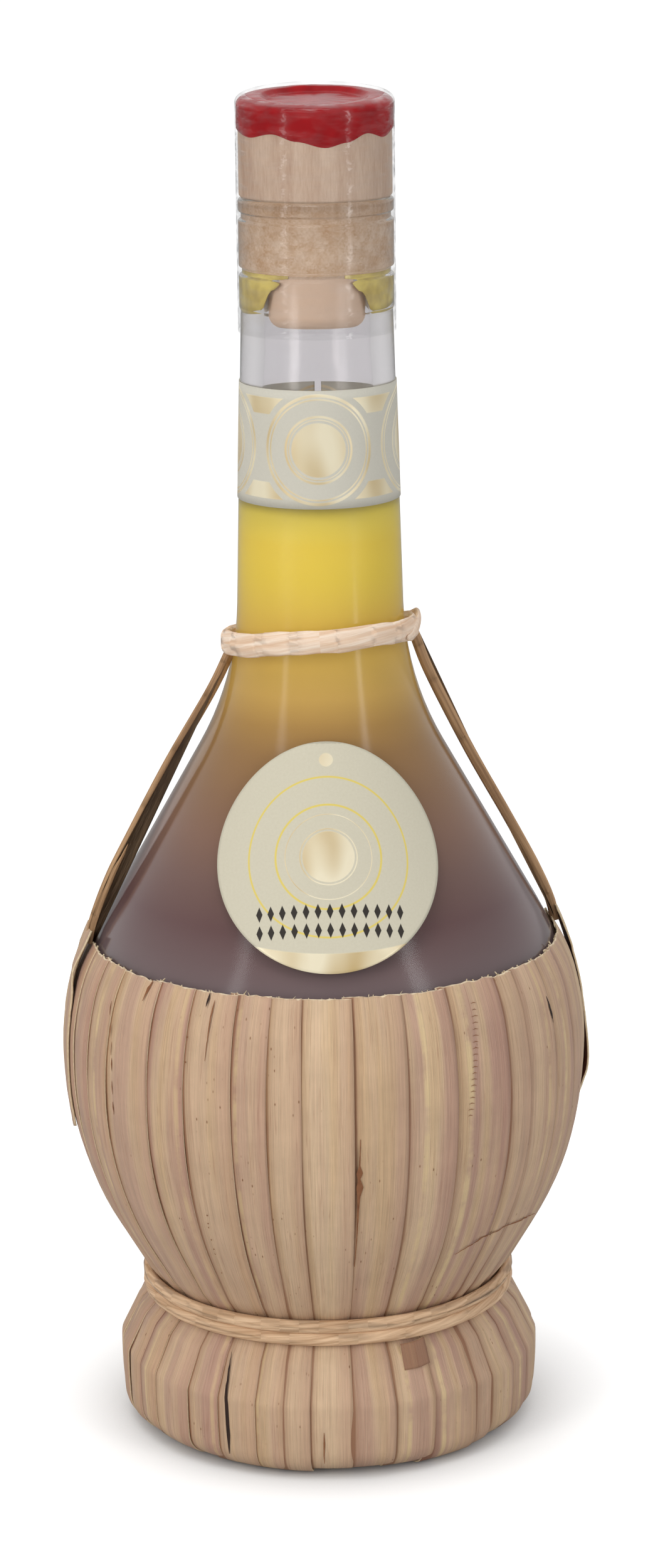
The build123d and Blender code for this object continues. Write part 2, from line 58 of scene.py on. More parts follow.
level_ahead = Vector((sin(camera_yaw), cos(camera_yaw), 0))
ahead = level_ahead * cos(camera_pitch) - Vector((0, 0, sin(camera_pitch)))
level = Vector((cos(camera_yaw), -sin(camera_yaw), 0))
rise = level.cross(ahead)
across = level * cos(camera_roll) - rise * sin(camera_roll)
upward = level * sin(camera_roll) + rise * cos(camera_roll)
camera_data = bpy.data.cameras.new("camera")
camera_data.sensor_width = 36
camera_data.lens = 93.6
camera_data.clip_start = 0.05
camera_data.clip_end = 50
camera = bpy.data.objects.new("camera", camera_data)
scene.collection.objects.link(camera)
turn = Matrix((across, upward, -ahead)).transposed().to_4x4()
camera.matrix_world = Matrix.Translation(camera_place) @ turn
scene.camera = camera
scene.view_settings.view_transform = "Standard"


# Studio: a white sweep, a softbox and a strip light at each side, a top light and a
# white room with greyer sides, which the glass and the film mirror.
def linear(hex_colour):
    """The linear RGBA of an sRGB hex colour."""
    parts = [int(hex_colour[i : i + 2], 16) / 255 for i in (1, 3, 5)]
    return [p / 12.92 if p < 0.04045 else ((p + 0.055) / 1.055) ** 2.4 for p in parts] + [1]


def feed(tree, target, *values, **named):
    """Set or link a node's inputs, by their order or by name with _ for a space."""
    for key, value in [*enumerate(values), *named.items()]:
        socket = target.inputs[key.replace("_", " ") if isinstance(key, str) else key]
        if isinstance(value, bpy.types.Node):
            value = value.outputs[0]
        if isinstance(value, bpy.types.NodeSocket):
            tree.links.new(value, socket)
        elif value is not None:
            socket.default_value = linear(value) if isinstance(value, str) else value


def node(tree, kind, *values, **named):
    """Add one shader node: capitalised names are inputs, the others its settings."""
    made = tree.nodes.new("ShaderNode" + kind)
    for key, value in named.items():
        if key == "stops":
            stops = made.color_ramp.elements
            stops.remove(stops[1])
            stops[0].position, stops[0].color = value[0][0], linear(value[0][1])
            for position, colour in value[1:]:
                stops.new(position).color = linear(colour)
        elif key[0].islower():
            setattr(made, key, value)
    feed(tree, made, *values, **{key: named[key] for key in named if key[0].isupper()})
    return made


def material(name):
    """A new node material, its tree and its Principled shader."""
    made = bpy.data.materials.new(name)
    made.use_nodes = True
    return made, made.node_tree, made.node_tree.nodes["Principled BSDF"]


def add_piece(name, bm, *materials):
    """Make a smooth object of a bmesh, given in millimetres, with its materials."""
    bmesh.ops.scale(bm, vec=(MM, MM, MM), verts=bm.verts)
    mesh = bpy.data.meshes.new(name)
    for face in bm.faces:
        face.smooth = True
    bm.to_mesh(mesh)
    bm.free()
    for entry in materials:
        mesh.materials.append(entry)
    piece = bpy.data.objects.new(name, mesh)
    scene.collection.objects.link(piece)
    return piece


room = bpy.data.worlds.new("white_room")
room.use_nodes = True
scene.world = room
tree = room.node_tree
tree.nodes.clear()
rays = node(tree, "LightPath").outputs
bent = node(tree, "Math", rays["Is Glossy Ray"], rays["Is Transmission Ray"], operation="MAXIMUM")
facing = node(tree, "SeparateXYZ", node(tree, "TexCoord").outputs["Generated"])
depth = node(tree, "MapRange", facing.outputs["Y"], -1.0, 1.0)
wall = node(tree, "ValToRGB", depth, stops=((0.35, "#A3A1A2"), (0.92, "#E6E5E5")))
dim = node(tree, "Background", Color="#FFFFFF", Strength=0.56)
walls = node(tree, "Background", Color=wall, Strength=1.0)
bright = node(tree, "Background", Color="#FFFFFF", Strength=1.0)
both = node(tree, "MixShader", bent, dim, walls)
both = node(tree, "MixShader", rays["Is Camera Ray"], both, bright)
node(tree, "OutputWorld", Surface=both)

lamp_aim = Vector((0, 0, 0.12))
for name, place, size, power, mirrored, colour in (
    ("softbox_left", (-0.62, -0.62, 0.42), (0.30, 0.75), 3.0, False, "#FFFBF5"),
    ("strip_light_left", (-0.62, -0.60, 0.42), (0.10, 0.75), 0.45, True, "#FFFFFF"),
    ("strip_light_right", (0.60, -0.52, 0.36), (0.085, 0.70), 0.5, True, "#FFFFFF"),
    ("softbox_right", (0.60, -0.52, 0.36), (0.30, 0.70), 1.2, False, "#FFFFFF"),
    ("top_light", (-0.15, -0.25, 0.95), (0.5, 0.4), 1.6, True, "#FFFFFF"),
):
    lamp = bpy.data.lights.new(name, "AREA")
    lamp.shape = "RECTANGLE"
    lamp.size, lamp.size_y = size
    lamp.energy = power
    lamp.color = linear(colour)[:3]
    lamp_object = bpy.data.objects.new(name, lamp)
    lamp_object.visible_glossy = mirrored
    scene.collection.objects.link(lamp_object)
    turn = (lamp_aim - Vector(place)).to_track_quat("-Z", "Y").to_matrix().to_4x4()
    lamp_object.matrix_world = Matrix.Translation(place) @ turn

# The sweep glows for the camera, less so near the foot, which leaves a soft shadow.
floor_white, tree, _ = material("white_sweep")
matt = node(tree, "BsdfDiffuse", Color="#C6C6C6")
near = node(tree, "AmbientOcclusion", Distance=0.022, samples=8)
near = node(tree, "Math", near.outputs["AO"], 1.3, operation="POWER")
near = node(tree, "Math", near, 0.74, operation="MULTIPLY")
glow = node(tree, "Emission", Color="#FFFFFF", Strength=near)
glow = node(tree, "MixShader", node(tree, "LightPath").outputs["Is Camera Ray"], None, glow)
feed(tree, tree.nodes["Material Output"], Surface=node(tree, "AddShader", matt, glow))
bm = bmesh.new()
bmesh.ops.create_grid(bm, x_segments=1, y_segments=1, size=14 / MM)
add_piece("floor", bm, floor_white)


# Flask: hand-blown clear glass, spun to one outline with a 2 mm wall, a drawn neck
# and a heavy ringed finish. A mouth-blown wall is a little uneven.
belly_radius = 46.0
pinch_flank = (30.6, 28.0)
flank_angle = radians(31)
neck_root = (15.33, 139.7)
neck_top = (13.45, 206.4)
shoulder_angle = radians(29.5)
belly_shares = (0.97, 0.53, 0.43)
neck_root_round = 56.0
glass_lift = 8.0
glass_wall = 1.9
glass_bottom_wall = 2.4
bore_radius = 9.3
bore_bottom = 200.2
finish_radius = 13.7
mouth_height = 226.2


def rounded(points, radii, step=radians(3)):
    """A polyline through points whose inner corners are rounded to the radii."""
    points = [Vector(p) for p in points]
    line = [points[0]]
    for before, corner, after, radius in zip(points, points[1:], points[2:], radii):
        if radius <= 0:
            line.append(corner)
            continue
        back = (before - corner).normalized()
        on = (after - corner).normalized()
        half = back.angle(on) / 2
        centre = corner + (back + on).normalized() * (radius / sin(half))
        start = corner + back * (radius / tan(half)) - centre
        end = corner + on * (radius / tan(half)) - centre
        sweep = atan2(start.x * end.y - start.y * end.x, start.dot(end))
        steps = max(2, ceil(abs(sweep) / step))
        for i in range(steps + 1):
            a = sweep * i / steps
            x = start.x * cos(a) - start.y * sin(a)
            line.append(centre + Vector((x, start.x * sin(a) + start.y * cos(a))))
    return line + [points[-1]]


def flask_outline(out, bottom, neck_end):
    """Corner points and radii of the flask's half outline, moved out by out."""
    flank_radius = pinch_flank[0] + out / cos(flank_angle)
    side = belly_radius + out
    low = (flank_radius - (pinch_flank[1] - bottom) * tan(flank_angle), bottom)
    belly = (side, pinch_flank[1] + (side - flank_radius) / tan(flank_angle))
    root_radius = neck_root[0] + out / cos(shoulder_angle)
    high = (side, neck_root[1] - (side - root_radius) / tan(shoulder_angle))
    root = (neck_root[0] + out, neck_root[1] + out * tan(shoulder_angle / 2))
    run = (
        neck_root[1]
        - (belly_radius - neck_root[0]) / tan(shoulder_angle)
        - pinch_flank[1]
        - (belly_radius - pinch_flank[0]) / tan(flank_angle)
    )
    radii = [
        belly_shares[0] * low[0] / tan((pi / 2 - flank_angle) / 2),
        belly_shares[1] * run / tan(flank_angle / 2) + out,
        belly_shares[2] * run / tan(shoulder_angle / 2) + out,
        neck_root_round - out,
    ]
    return [(0, bottom), low, belly, high, root, neck_end], radii


def spun(line, steps=160):
    """A bmesh of a half outline in millimetres turned once round the upright axis."""
    bm = bmesh.new()
    rim = [bm.verts.new((p[0], 0, p[1])) for p in line]
    edges = [bm.edges.new(pair) for pair in zip(rim, rim[1:])]
    bmesh.ops.spin(
        bm, geom=rim + edges, axis=(0, 0, 1), cent=(0, 0, 0), angle=tau, steps=steps, use_merge=True
    )
    bmesh.ops.remove_doubles(bm, verts=bm.verts, dist=1e-5)
    bmesh.ops.recalc_face_normals(bm, faces=bm.faces)
    return bm


def stretched(tree, place, scale, **look):
    """A noise texture over a place that is stretched by scale."""
    return node(tree, "TexNoise", node(tree, "Mapping", place, Scale=scale), **look)


def straight_rays(tree):
    """A node that is 1 for the rays that pass clear sheets unbent."""
    rays = node(tree, "LightPath").outputs
    return node(tree, "Math", rays["Is Shadow Ray"], rays["Is Diffuse Ray"], operation="MAXIMUM")


outer_points, outer_radii = flask_outline(0, glass_lift, neck_top)
inner_bottom = glass_lift + glass_bottom_wall
inner_points, inner_radii = flask_outline(-glass_wall, inner_bottom, (bore_radius, bore_bottom))
finish_points = [
    neck_top, (13.68, 207.0), (finish_radius, 212.6), (13.1, 213.0), (13.15, 213.9),
    (finish_radius, 214.2), (finish_radius, 222.2), (13.2, 222.6), (13.2, 223.5),
    (finish_radius, 223.9), (finish_radius, mouth_height), (11.5, mouth_height),
    (bore_radius, mouth_height), (bore_radius, bore_bottom),
]
finish_radii = [0.5, 0.5, 0.25, 0.25, 0.35, 0.5, 0.25, 0.25, 0.35, 0.8, 0, 0.6]
outline = rounded(outer_points, outer_radii)[:-1]
outline += rounded(finish_points, finish_radii, radians(12))[:-1]
outline += reversed(rounded(inner_points, inner_radii))
# Soda-lime glass, IOR 1.5. Its waves are about 15 mm long and drawn down the neck. Light
# for shadows goes straight through, since the wall is thin.
clear_glass, tree, _ = material("clear_blown_glass")
place = node(tree, "TexCoord").outputs
uneven = stretched(tree, place["Object"], (1.0, 1.0, 0.35), Scale=70.0, Detail=2.0)
dent = node(tree, "Bump", Height=uneven, Strength=0.35, Distance=0.0006)
refracted = node(tree, "BsdfRefraction", Color="#F6F5F6", Roughness=0.0, IOR=1.5)
mirror = node(tree, "BsdfGlossy", Color="#FFFFFF", Roughness=0.16, Normal=dent)
glazed = node(tree, "MixShader", node(tree, "Fresnel", IOR=1.5), refracted, mirror)
clear = node(tree, "BsdfTransparent", Color="#F2F2F0")
both = node(tree, "MixShader", straight_rays(tree), glazed, clear)
feed(tree, tree.nodes["Material Output"], Surface=both)
flask = add_piece("blown_flask", spun(outline), clear_glass)
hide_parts("glass_bottle")
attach(flask, "bottle")


# Olive oil: the filling, up to its level in the neck. Its colour is painted by height: clear
# yellow in the thin neck, painted lighter just under the label against the label's shade,
# palest behind the label, and brown below, a painted shade where the basket keeps the light out.
oil_level = 190.6
oil_into_wall = 0.12
inner_radius = 11.4
# Heights in mm and colours: the brown low stops are painted shade from the basket, the stop at 172
# is painted light against the label's shade.
oil_heights = (
    (92, "#7B6A6C"), (96, "#735E5F"), (101, "#6C5151"), (108, "#7B5F58"), (115, "#8B6A59"),
    (122, "#937052"), (129, "#9F7A4D"), (134, "#B38C4E"), (139, "#D2AA5A"), (145, "#DFB95A"),
    (152, "#EBC858"), (160, "#F1D250"), (166, "#F6D752"), (172, "#FFE968"), (191, "#FFFFFF"),
)
oil_end = (bore_radius + oil_into_wall, bore_bottom)
oil_points, oil_radii = flask_outline(
    oil_into_wall - glass_wall, inner_bottom - oil_into_wall, oil_end
)
oil_line = [p for p in rounded(oil_points, oil_radii) if p.y < oil_level]
# The level climbs the wall by half a millimetre.
oil_line += [(inner_radius + 0.3, oil_level + 0.5), (inner_radius - 0.9, oil_level), (0, oil_level)]
yellow_oil, tree, shader = material("extra_light_oil")
split = node(tree, "SeparateXYZ", node(tree, "TexCoord").outputs["Object"])
low, high = oil_heights[0][0], oil_heights[-1][0]
share = node(tree, "MapRange", split.outputs["Z"], low * MM, high * MM)
stops = [((height - low) / (high - low), colour) for height, colour in oil_heights]
ramp = node(tree, "ValToRGB", share, stops=stops)
feed(tree, shader, Base_Color=ramp, Roughness=0.3, Specular_IOR_Level=0.0)
oil = add_piece("oil_filling", spun(oil_line, 128), yellow_oil)
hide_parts("olive_oil")
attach(oil, "bottle")


# Oil held in the gap beside the cork: a yellow film on the bore, lowest at the sides.
def polar(radius, angle, height):
    """The point at a radius and height; angles run from the front to the right."""
    return Vector((radius * sin(angle), -radius * cos(angle), height))


def corners(bm):
    """Each face corner of a bmesh: its vertex and its entry in the UV map."""
    uv = bm.loops.layers.uv.active
    for face in bm.faces:
        for loop in face.loops:
            yield loop.vert, loop[uv]


def laid(across_steps, along_steps, place, size, closed=False):
    """A grid bent to place(u, v), its UV map in the size given, in centimetres."""
    bm = bmesh.new()
    bmesh.ops.create_grid(bm, x_segments=across_steps, y_segments=along_steps, size=0.5)
    bm.loops.layers.uv.new("UVMap")
    for vert, entry in corners(bm):
        entry.uv = ((vert.co.x + 0.5) * size[0], (vert.co.y + 0.5) * size[1])
    for vert in bm.verts:
        vert.co = place(vert.co.x + 0.5, vert.co.y + 0.5)
    if closed:
        bmesh.ops.remove_doubles(bm, verts=bm.verts, dist=1e-4)
        bmesh.ops.recalc_face_normals(bm, faces=bm.faces)
    return bm


def thicken(piece, thickness, offset, inside=0, edge=0):
    """Give a sheet its thickness in millimetres; other material slots inside or on its edge."""
    wall = piece.modifiers.new("thickness", "SOLIDIFY")
    wall.thickness = thickness * MM
    wall.offset = offset
    wall.material_offset = inside
    wall.material_offset_rim = edge


def between(table, x):
    """Smooth value of a table of (x, value) pairs."""
    for (x0, y0), (x1, y1) in zip(table, table[1:]):
        if x <= x1:
            t = (x - x0) / (x1 - x0)
            return y0 + (y1 - y0) * t * t * (3 - 2 * t)
    return table[-1][1]


def mottled(name, scale, detail, stops, **surface):
    """A material coloured by one noise; gives it with its tree, shader and noise."""
    made, tree, shader = material(name)
    place = node(tree, "TexCoord").outputs["Object"]
    mottle = node(tree, "TexNoise", place, Scale=scale, Detail=detail)
    feed(tree, shader, Base_Color=node(tree, "ValToRGB", mottle, stops=stops), **surface)
    return made, tree, shader, mottle


film_radius = 9.34
film_top = 213.5
film_depth = 6.4
film_depths = (
    (0, 0.1), (0.06, 0.45), (0.11, 0.95), (0.2, 1.0), (0.5, 0.8), (0.8, 1.0), (0.89, 0.95),
    (0.94, 0.45), (1, 0.1),
)


def cling_place(u, v):
    """Point of the clinging film: u round the bore from the front, v up."""
    low = film_depth * between(film_depths, u) * (1 + 0.12 * sin(9 * u + 1))
    return polar(film_radius, radians(28 + 304 * u), film_top - low * (1 - v))


pools = ((0.35, "#C9B066"), (0.65, "#F0DA7C"))
olive_film = mottled("clinging_oil", 300.0, 2.0, pools, Roughness=0.3)[0]
clinging = add_piece("clinging_oil", laid(80, 6, cling_place, (5.0, 0.5)), olive_film)
thicken(clinging, 0.1, 1)
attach(clinging, "bottle")


# Cork: a shank of fine pressed cork, glued into the wooden head. Its narrower free end below
# the bore is painted paler and pinker, as painted light where it shows through the glass.
# Grains are 0.4 mm.
cork_line = [
    (0, 204.3), (8.3, 204.3), (8.9, 212.4), (bore_radius + 0.08, 213.6),
    (bore_radius + 0.08, 226.0), (9.0, 226.3), (0, 226.3),
]
pressed_cork, tree, shader = material("pressed_cork")
place = node(tree, "TexCoord").outputs
grains = node(tree, "TexVoronoi", place["Object"], Scale=2600.0)
mottle = node(tree, "TexNoise", place["Object"], Scale=330.0, Detail=4.0, Roughness=0.7)
grey = node(tree, "RGBToBW", grains.outputs["Color"])
tone = node(tree, "Math", grey, 0.22, mottle, operation="MULTIPLY_ADD")
ramp = node(tree, "ValToRGB", tone, stops=((0.42, "#CDA682"), (0.8, "#EACFB6")))
split = node(tree, "SeparateXYZ", place["Object"])
# Painted light: below 213 mm the cork is mixed towards a pale pink.
painted_light_end = node(tree, "MapRange", split.outputs["Z"], 0.2137, 0.2125)
colour = node(tree, "MixRGB", painted_light_end, ramp, "#FFDDC2")
dent = node(tree, "Bump", Height=grains, Strength=0.2, Distance=0.0001)
feed(tree, shader, Base_Color=colour, Roughness=0.75, Normal=dent)
cork_line = rounded(cork_line, [2.4, 0.5, 0.2, 0.1, 0], radians(15))
cork = add_piece("cork", spun(cork_line, 96), pressed_cork)
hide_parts("cork_shank")
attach(cork, "stopper")


# Wooden head: a turned beech cap above the mouth, its grain upright, with short dark
# pores and faint turning marks. Pores are drawn 0.4 mm wide, finer ones don't show.
head_radius = 13.5
head_line = [(0, 226.3), (head_radius, 226.3), (head_radius, 241.4), (0, 241.4)]
turned_beech, tree, shader = material("turned_beech")
place = node(tree, "TexCoord").outputs
long_grain = node(tree, "Mapping", place["Object"], Scale=(1.0, 1.0, 0.14))
fibre = node(tree, "TexNoise", long_grain, Scale=2600.0, Detail=4.0, Roughness=0.7)
clouds = node(tree, "TexNoise", long_grain, Scale=220.0, Detail=2.0)
mixed = node(tree, "Math", fibre, 0.6, clouds, operation="MULTIPLY_ADD")
ramp = node(tree, "ValToRGB", mixed, stops=((0.55, "#B0907A"), (1.0, "#D0B7A2")))
dent = node(tree, "Bump", Height=fibre, Strength=0.15, Distance=0.0002)
feed(tree, shader, Base_Color=ramp, Roughness=0.5, Normal=dent)
head_line = rounded(head_line, [0.5, 1.0], radians(15))
head = add_piece("beech_head", spun(head_line, 128), turned_beech)
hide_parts("wooden_head")
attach(head, "stopper")


# Sealing wax: dipped over the head while hot, so its skirt runs down in waves. The
# top is pressed with a plain disc, which leaves a raised rim and a few lumps.
wax_radius = 13.78
wax_bottom = 238.0
skirt_steps = 9
wax_height = 6.9
front_drop = 1.1
wax_waves = (
    (-180, 0.9), (-128, 1.9), (-100, 0.3), (-82, 0.4), (-57, 1.0), (-33, 0.1), (-14, 1.3), (8, 2.4),
    (24, 1.6), (42, 0.2), (61, 1.2), (84, 0.3), (118, 1.6), (150, 0.2), (180, 0.9),
)
wax_line = [
    (0, 243.9), (8.6, 243.9), (9.6, 244.85), (11.0, 244.85), (wax_radius, 244.3),
    (wax_radius, wax_bottom),
]
wax_line = rounded(wax_line, [1.2, 0.8, 0.8, 1.5], radians(8))
wax_steps = len(wax_line) - 2 + skirt_steps


def leaned(point):
    """The point as it is on the finished cap, whose top stands lower at the front."""
    share = max(0, (point.z - wax_bottom) / wax_height)
    point.z -= front_drop * share * (1 - point.y / wax_radius)
    return point


def wax_place(u, v):
    """Point of the wax's outside: u round the head, v from the top's middle down."""
    angle = tau * u - pi
    spot = v * wax_steps
    i = min(int(spot), len(wax_line) - 2)
    share = spot - i
    if i == len(wax_line) - 2:
        end = wax_bottom - between(wax_waves, degrees(angle))
        share = min(1, share / skirt_steps)
        radius = wax_radius + 0.03 * sin(share * pi) - 0.34 * max(0, share - 0.93) / 0.07
        height = wax_line[-2].y + (end - wax_line[-2].y) * share
    else:
        radius, height = wax_line[i].lerp(wax_line[i + 1], share)
    point = leaned(polar(radius, angle, height))
    if v < 0.5:
        lump = noise.noise(point * 0.22) * 0.35 + noise.noise(point * 0.6) * 0.12
        point.z += lump * min(1, 1.3 * (1 - radius / 13.0) + 0.15)
    return point


reds = ((0.3, "#8E1218"), (0.7, "#A81A1F"))
glossy_wax, tree, shader, mottle = mottled("red_sealing_wax", 260.0, 3.0, reds, Roughness=0.2)
dent = node(tree, "Bump", Height=mottle, Strength=0.25, Distance=0.0004)
feed(tree, shader, Specular_IOR_Level=0.18, Normal=dent)
wax = add_piece("wax_cap", laid(144, wax_steps, wax_place, (8.6, 2.0), closed=True), glossy_wax)
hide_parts("wax_seal")
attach(wax, "stopper")


# Shrink sleeve: thin clear film, shrunk over the finish, the head and the edge of the
# wax. It mirrors the strip lights in broken streaks where it is not quite smooth.
sleeve_radius = 13.98
sleeve_bottom = 202.7
sleeve_straight_top = 243.4
sleeve_steps = 40
straight_steps = 30
sleeve_fold = rounded(
    [(sleeve_radius, 207.0), (sleeve_radius, 245.1), (12.2, 245.2)], [1.7], radians(10)
)[1:]


def sleeve_place(u, v):
    """Point of the film: u round the neck, v from its lower edge up."""
    angle = tau * u
    along = v * sleeve_steps
    if along < straight_steps:
        share = along / straight_steps
        p = Vector((sleeve_radius, sleeve_bottom + (sleeve_straight_top - sleeve_bottom) * share))
    else:
        share = (along - straight_steps) / (sleeve_steps - straight_steps)
        spot = share * (len(sleeve_fold) - 1)
        i = min(int(spot), len(sleeve_fold) - 2)
        p = sleeve_fold[i].lerp(sleeve_fold[i + 1], spot - i)
    radius = p.x + 0.04 * noise.noise(Vector((angle * 2, p.y * 0.3, 1)))
    if v > 0.97:
        radius += 0.25 * noise.noise(Vector((sin(angle) * 3, cos(angle) * 3, 7)))
    return leaned(polar(radius, angle, p.y))


clear_film, tree, _ = material("clear_shrink_film")
place = node(tree, "TexCoord").outputs
ripples = stretched(tree, place["Object"], (1.0, 1.0, 3.2), Scale=260.0, Detail=2.0)
dent = node(tree, "Bump", Height=ripples, Strength=0.6, Distance=0.0004)
shine = node(tree, "BsdfGlossy", Color="#FFFFFF", Roughness=0.1, Normal=dent)
through = node(tree, "BsdfTransparent", Color="#F9F9F9")
slant = node(tree, "LayerWeight", Blend=0.5).outputs["Facing"]
slant = node(tree, "Math", slant, 3.6, operation="POWER")
share = node(tree, "Math", slant, 0.42, 0.03, operation="MULTIPLY_ADD")
broken = node(tree, "MapRange", ripples, 0.4, 0.62, 0.15, 1.9)
share = node(tree, "Math", share, broken, operation="MULTIPLY")
mirrored = node(tree, "Math", 1.0, straight_rays(tree), operation="SUBTRACT")
share = node(tree, "Math", share, mirrored, operation="MULTIPLY")
both = node(tree, "MixShader", share, through, shine)
feed(tree, tree.nodes["Material Output"], Surface=both)
bm = laid(160, sleeve_steps, sleeve_place, (8.8, 4.6), closed=True)
film = add_piece("film_sleeve", bm, clear_film)
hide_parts("shrink_sleeve")
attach(film, "sleeve")


# Neck label: a band of laid paper with gold foil bars and ringed medallions, printed
# without any words.
band_bottom = 173.1
band_height = 20.8
band_middle = band_bottom + band_height / 2
band_wrap = radians(354)
paper_stand = 0.2
paper_thickness = 0.15


def neck_radius(height):
    """Outer radius of the glass neck at a height in millimetres."""
    share = (height - neck_root[1]) / (neck_top[1] - neck_root[1])
    return neck_root[0] + share * (neck_top[0] - neck_root[0])


def apart(tree, place, height=None):
    """The distance of a place from the middle, or from a height above it."""
    if height:
        place = node(tree, "VectorMath", place, (0.0, height, 0.0), operation="SUBTRACT")
    return node(tree, "VectorMath", place, operation="LENGTH").outputs["Value"]


def off(tree, value, other):
    """How far a value is from another one, up or down."""
    gap = node(tree, "Math", value, other, operation="SUBTRACT")
    return node(tree, "Math", gap, operation="ABSOLUTE")


def ring_mask(tree, distance, radius, half_width, soft=0.08):
    """A node that is 1 within half_width of a radius, in millimetres."""
    away = off(tree, distance, radius)
    return node(tree, "MapRange", away, half_width + soft, half_width - soft)


def most(tree, *values):
    """The largest of several masks."""
    top = values[0]
    for value in values[1:]:
        top = node(tree, "Math", top, value, operation="MAXIMUM")
    return top


def paper_and_foil(name, papers, foil, tint=None, ink=None):
    """A paper with foil, yellow tint and dark ink where their functions say so."""
    made, tree, shader = material(name)
    place = node(tree, "TexCoord").outputs["UV"]
    place = node(tree, "VectorMath", place, Scale=10.0, operation="SCALE")
    fibres = node(tree, "TexNoise", place, Scale=2.2, Detail=4.0)
    colour = node(tree, "ValToRGB", fibres, stops=((0.0, papers[0]), (1.0, papers[1])))
    gold = foil(tree, place)
    if tint:
        colour = node(tree, "MixRGB", tint(tree, place), colour, "#DCC656")
    if ink:
        colour = node(tree, "MixRGB", ink(tree, place), colour, "#2E2823")
    # Painted reflection: the gold foil's colour runs in bands some 8 mm wide between a dark and
    # a bright tone, as if it mirrored a dark and a bright side of the room.
    upright = node(tree, "Mapping", place, Location=(3.1, 0.0, 0.0), Scale=(0.13, 0.05, 1.0))
    painted_reflection = node(tree, "TexNoise", upright, Scale=1.0, Detail=1.0)
    leaf = node(tree, "ValToRGB", painted_reflection, stops=((0.25, "#C9AA6A"), (0.6, "#FCF2D4")))
    colour = node(tree, "MixRGB", gold, colour, leaf)
    metal = node(tree, "Math", gold, 0.35, operation="MULTIPLY")
    rough = node(tree, "MapRange", gold, 0.0, 1.0, 0.62, 0.32)
    dent = node(tree, "Bump", Height=gold, Strength=0.2, Distance=0.00005)
    feed(tree, shader, Base_Color=colour, Metallic=metal, Roughness=rough, Normal=dent)
    return made


def neck_foil(tree, place):
    """Bars along both edges that end in points, and a medallion every quarter turn."""
    split = node(tree, "SeparateXYZ", place).outputs
    eighth = tau * neck_radius(band_middle) / 8
    along = node(tree, "Math", split["X"], eighth, operation="PINGPONG")
    height = off(tree, split["Y"], band_height / 2)
    distance = apart(tree, node(tree, "CombineXYZ", along, height))
    bar = ring_mask(tree, height, 7.45, 1.45)
    past = node(tree, "Math", distance, 10.9, operation="GREATER_THAN")
    bar = node(tree, "Math", bar, past, operation="MULTIPLY")
    disc = node(tree, "MapRange", distance, 4.85, 4.7)
    rings = ((9.55, 0.26), (8.85, 0.13), (5.85, 0.2), (5.3, 0.08))
    return most(tree, bar, disc, *(ring_mask(tree, distance, *ring) for ring in rings))


def band_place(u, v):
    """Point of the neck label: u round from the back, v up."""
    height = band_bottom + v * band_height
    return polar(neck_radius(height) + paper_stand, (u - 0.5) * band_wrap, height)


band_length = band_wrap * neck_radius(band_middle)
bm = laid(144, 12, band_place, (band_length / 10, band_height / 10))
for _, entry in corners(bm):
    entry.uv.x -= band_length / 20
band_paper = paper_and_foil("foiled_band_paper", ("#C5C2B5", "#CECBBF"), neck_foil)
band = add_piece("neck_band", bm, band_paper)
thicken(band, paper_thickness, -1)
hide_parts("neck_label")
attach(band, "bottle")


# Round label: cream paper stuck on the shoulder, with printed rings, a foil disc, two
# rows of dark lozenges and a foil crescent along its lower edge.
label_height = 114.3
label_half = 21.0
label_half_width = 19.5
label_turn = radians(1.8)
cone_top = 129.7


def cone_radius(height, out=0.0):
    """Radius of the shoulder cone, moved out by out, at a height in millimetres."""
    return neck_root[0] + out / cos(shoulder_angle) + (neck_root[1] - height) * tan(shoulder_angle)


def label_foil(tree, place):
    """A disc, rings and a dot in gold, and the crescent under a wide arc."""
    distance = apart(tree, place)
    disc = node(tree, "MapRange", distance, 4.65, 4.55)
    crescent = node(tree, "MapRange", apart(tree, place, 28.2), 45.5, 45.7)
    dot = node(tree, "MapRange", apart(tree, place, 17.6), 1.3, 1.15)
    rings = (ring_mask(tree, distance, *ring, 0.05) for ring in ((5.05, 0.1), (7.7, 0.07)))
    return most(tree, disc, crescent, dot, *rings)


def label_tint(tree, place):
    """The yellow printed rings round the disc."""
    distance = apart(tree, place)
    rings = [ring_mask(tree, distance, *ring) for ring in ((14.5, 0.17), (9.43, 0.18))]
    return node(tree, "Math", most(tree, *rings), 0.9, operation="MULTIPLY")


def label_ink(tree, place):
    """Two rows of slender dark lozenges above the crescent."""
    split = node(tree, "SeparateXYZ", place).outputs
    beside = node(tree, "Math", split["X"], 1.05, operation="PINGPONG")
    beside = node(tree, "Math", beside, 0.6, operation="DIVIDE")
    reach = node(tree, "Math", split["X"], operation="ABSOLUTE")
    within = node(tree, "Math", reach, 13.6, operation="LESS_THAN")
    rows = []
    for height in (-9.8, -13.2):
        above = off(tree, split["Y"], height)
        lozenge = node(tree, "Math", above, 1 / 1.4, beside, operation="MULTIPLY_ADD")
        lozenge = node(tree, "MapRange", lozenge, 1.06, 0.94)
        rows.append(node(tree, "Math", lozenge, within, operation="MULTIPLY"))
    return most(tree, *rows)


def label_spot(u, v):
    """Place on the flat round label, from its middle to the side and up."""
    return label_half_width * v * sin(tau * u), label_half * v * cos(tau * u)


def label_place(u, v):
    """Point of the round label on the shoulder: u round its edge, v from its middle out."""
    side, up = label_spot(u, v)
    front = cone_radius(label_height, paper_stand)
    height = label_height
    for _ in range(12):
        depth = sqrt(cone_radius(height, paper_stand) ** 2 - side**2) - front
        height = label_height + (up + depth * sin(shoulder_angle)) / cos(shoulder_angle)
    radius = cone_radius(height, paper_stand)
    angle = label_turn + asin(side / radius)
    if height > cone_top:
        radius += (height - cone_top) ** 2 / (2 * neck_root_round) * 0.9
    return polar(radius, angle, height)


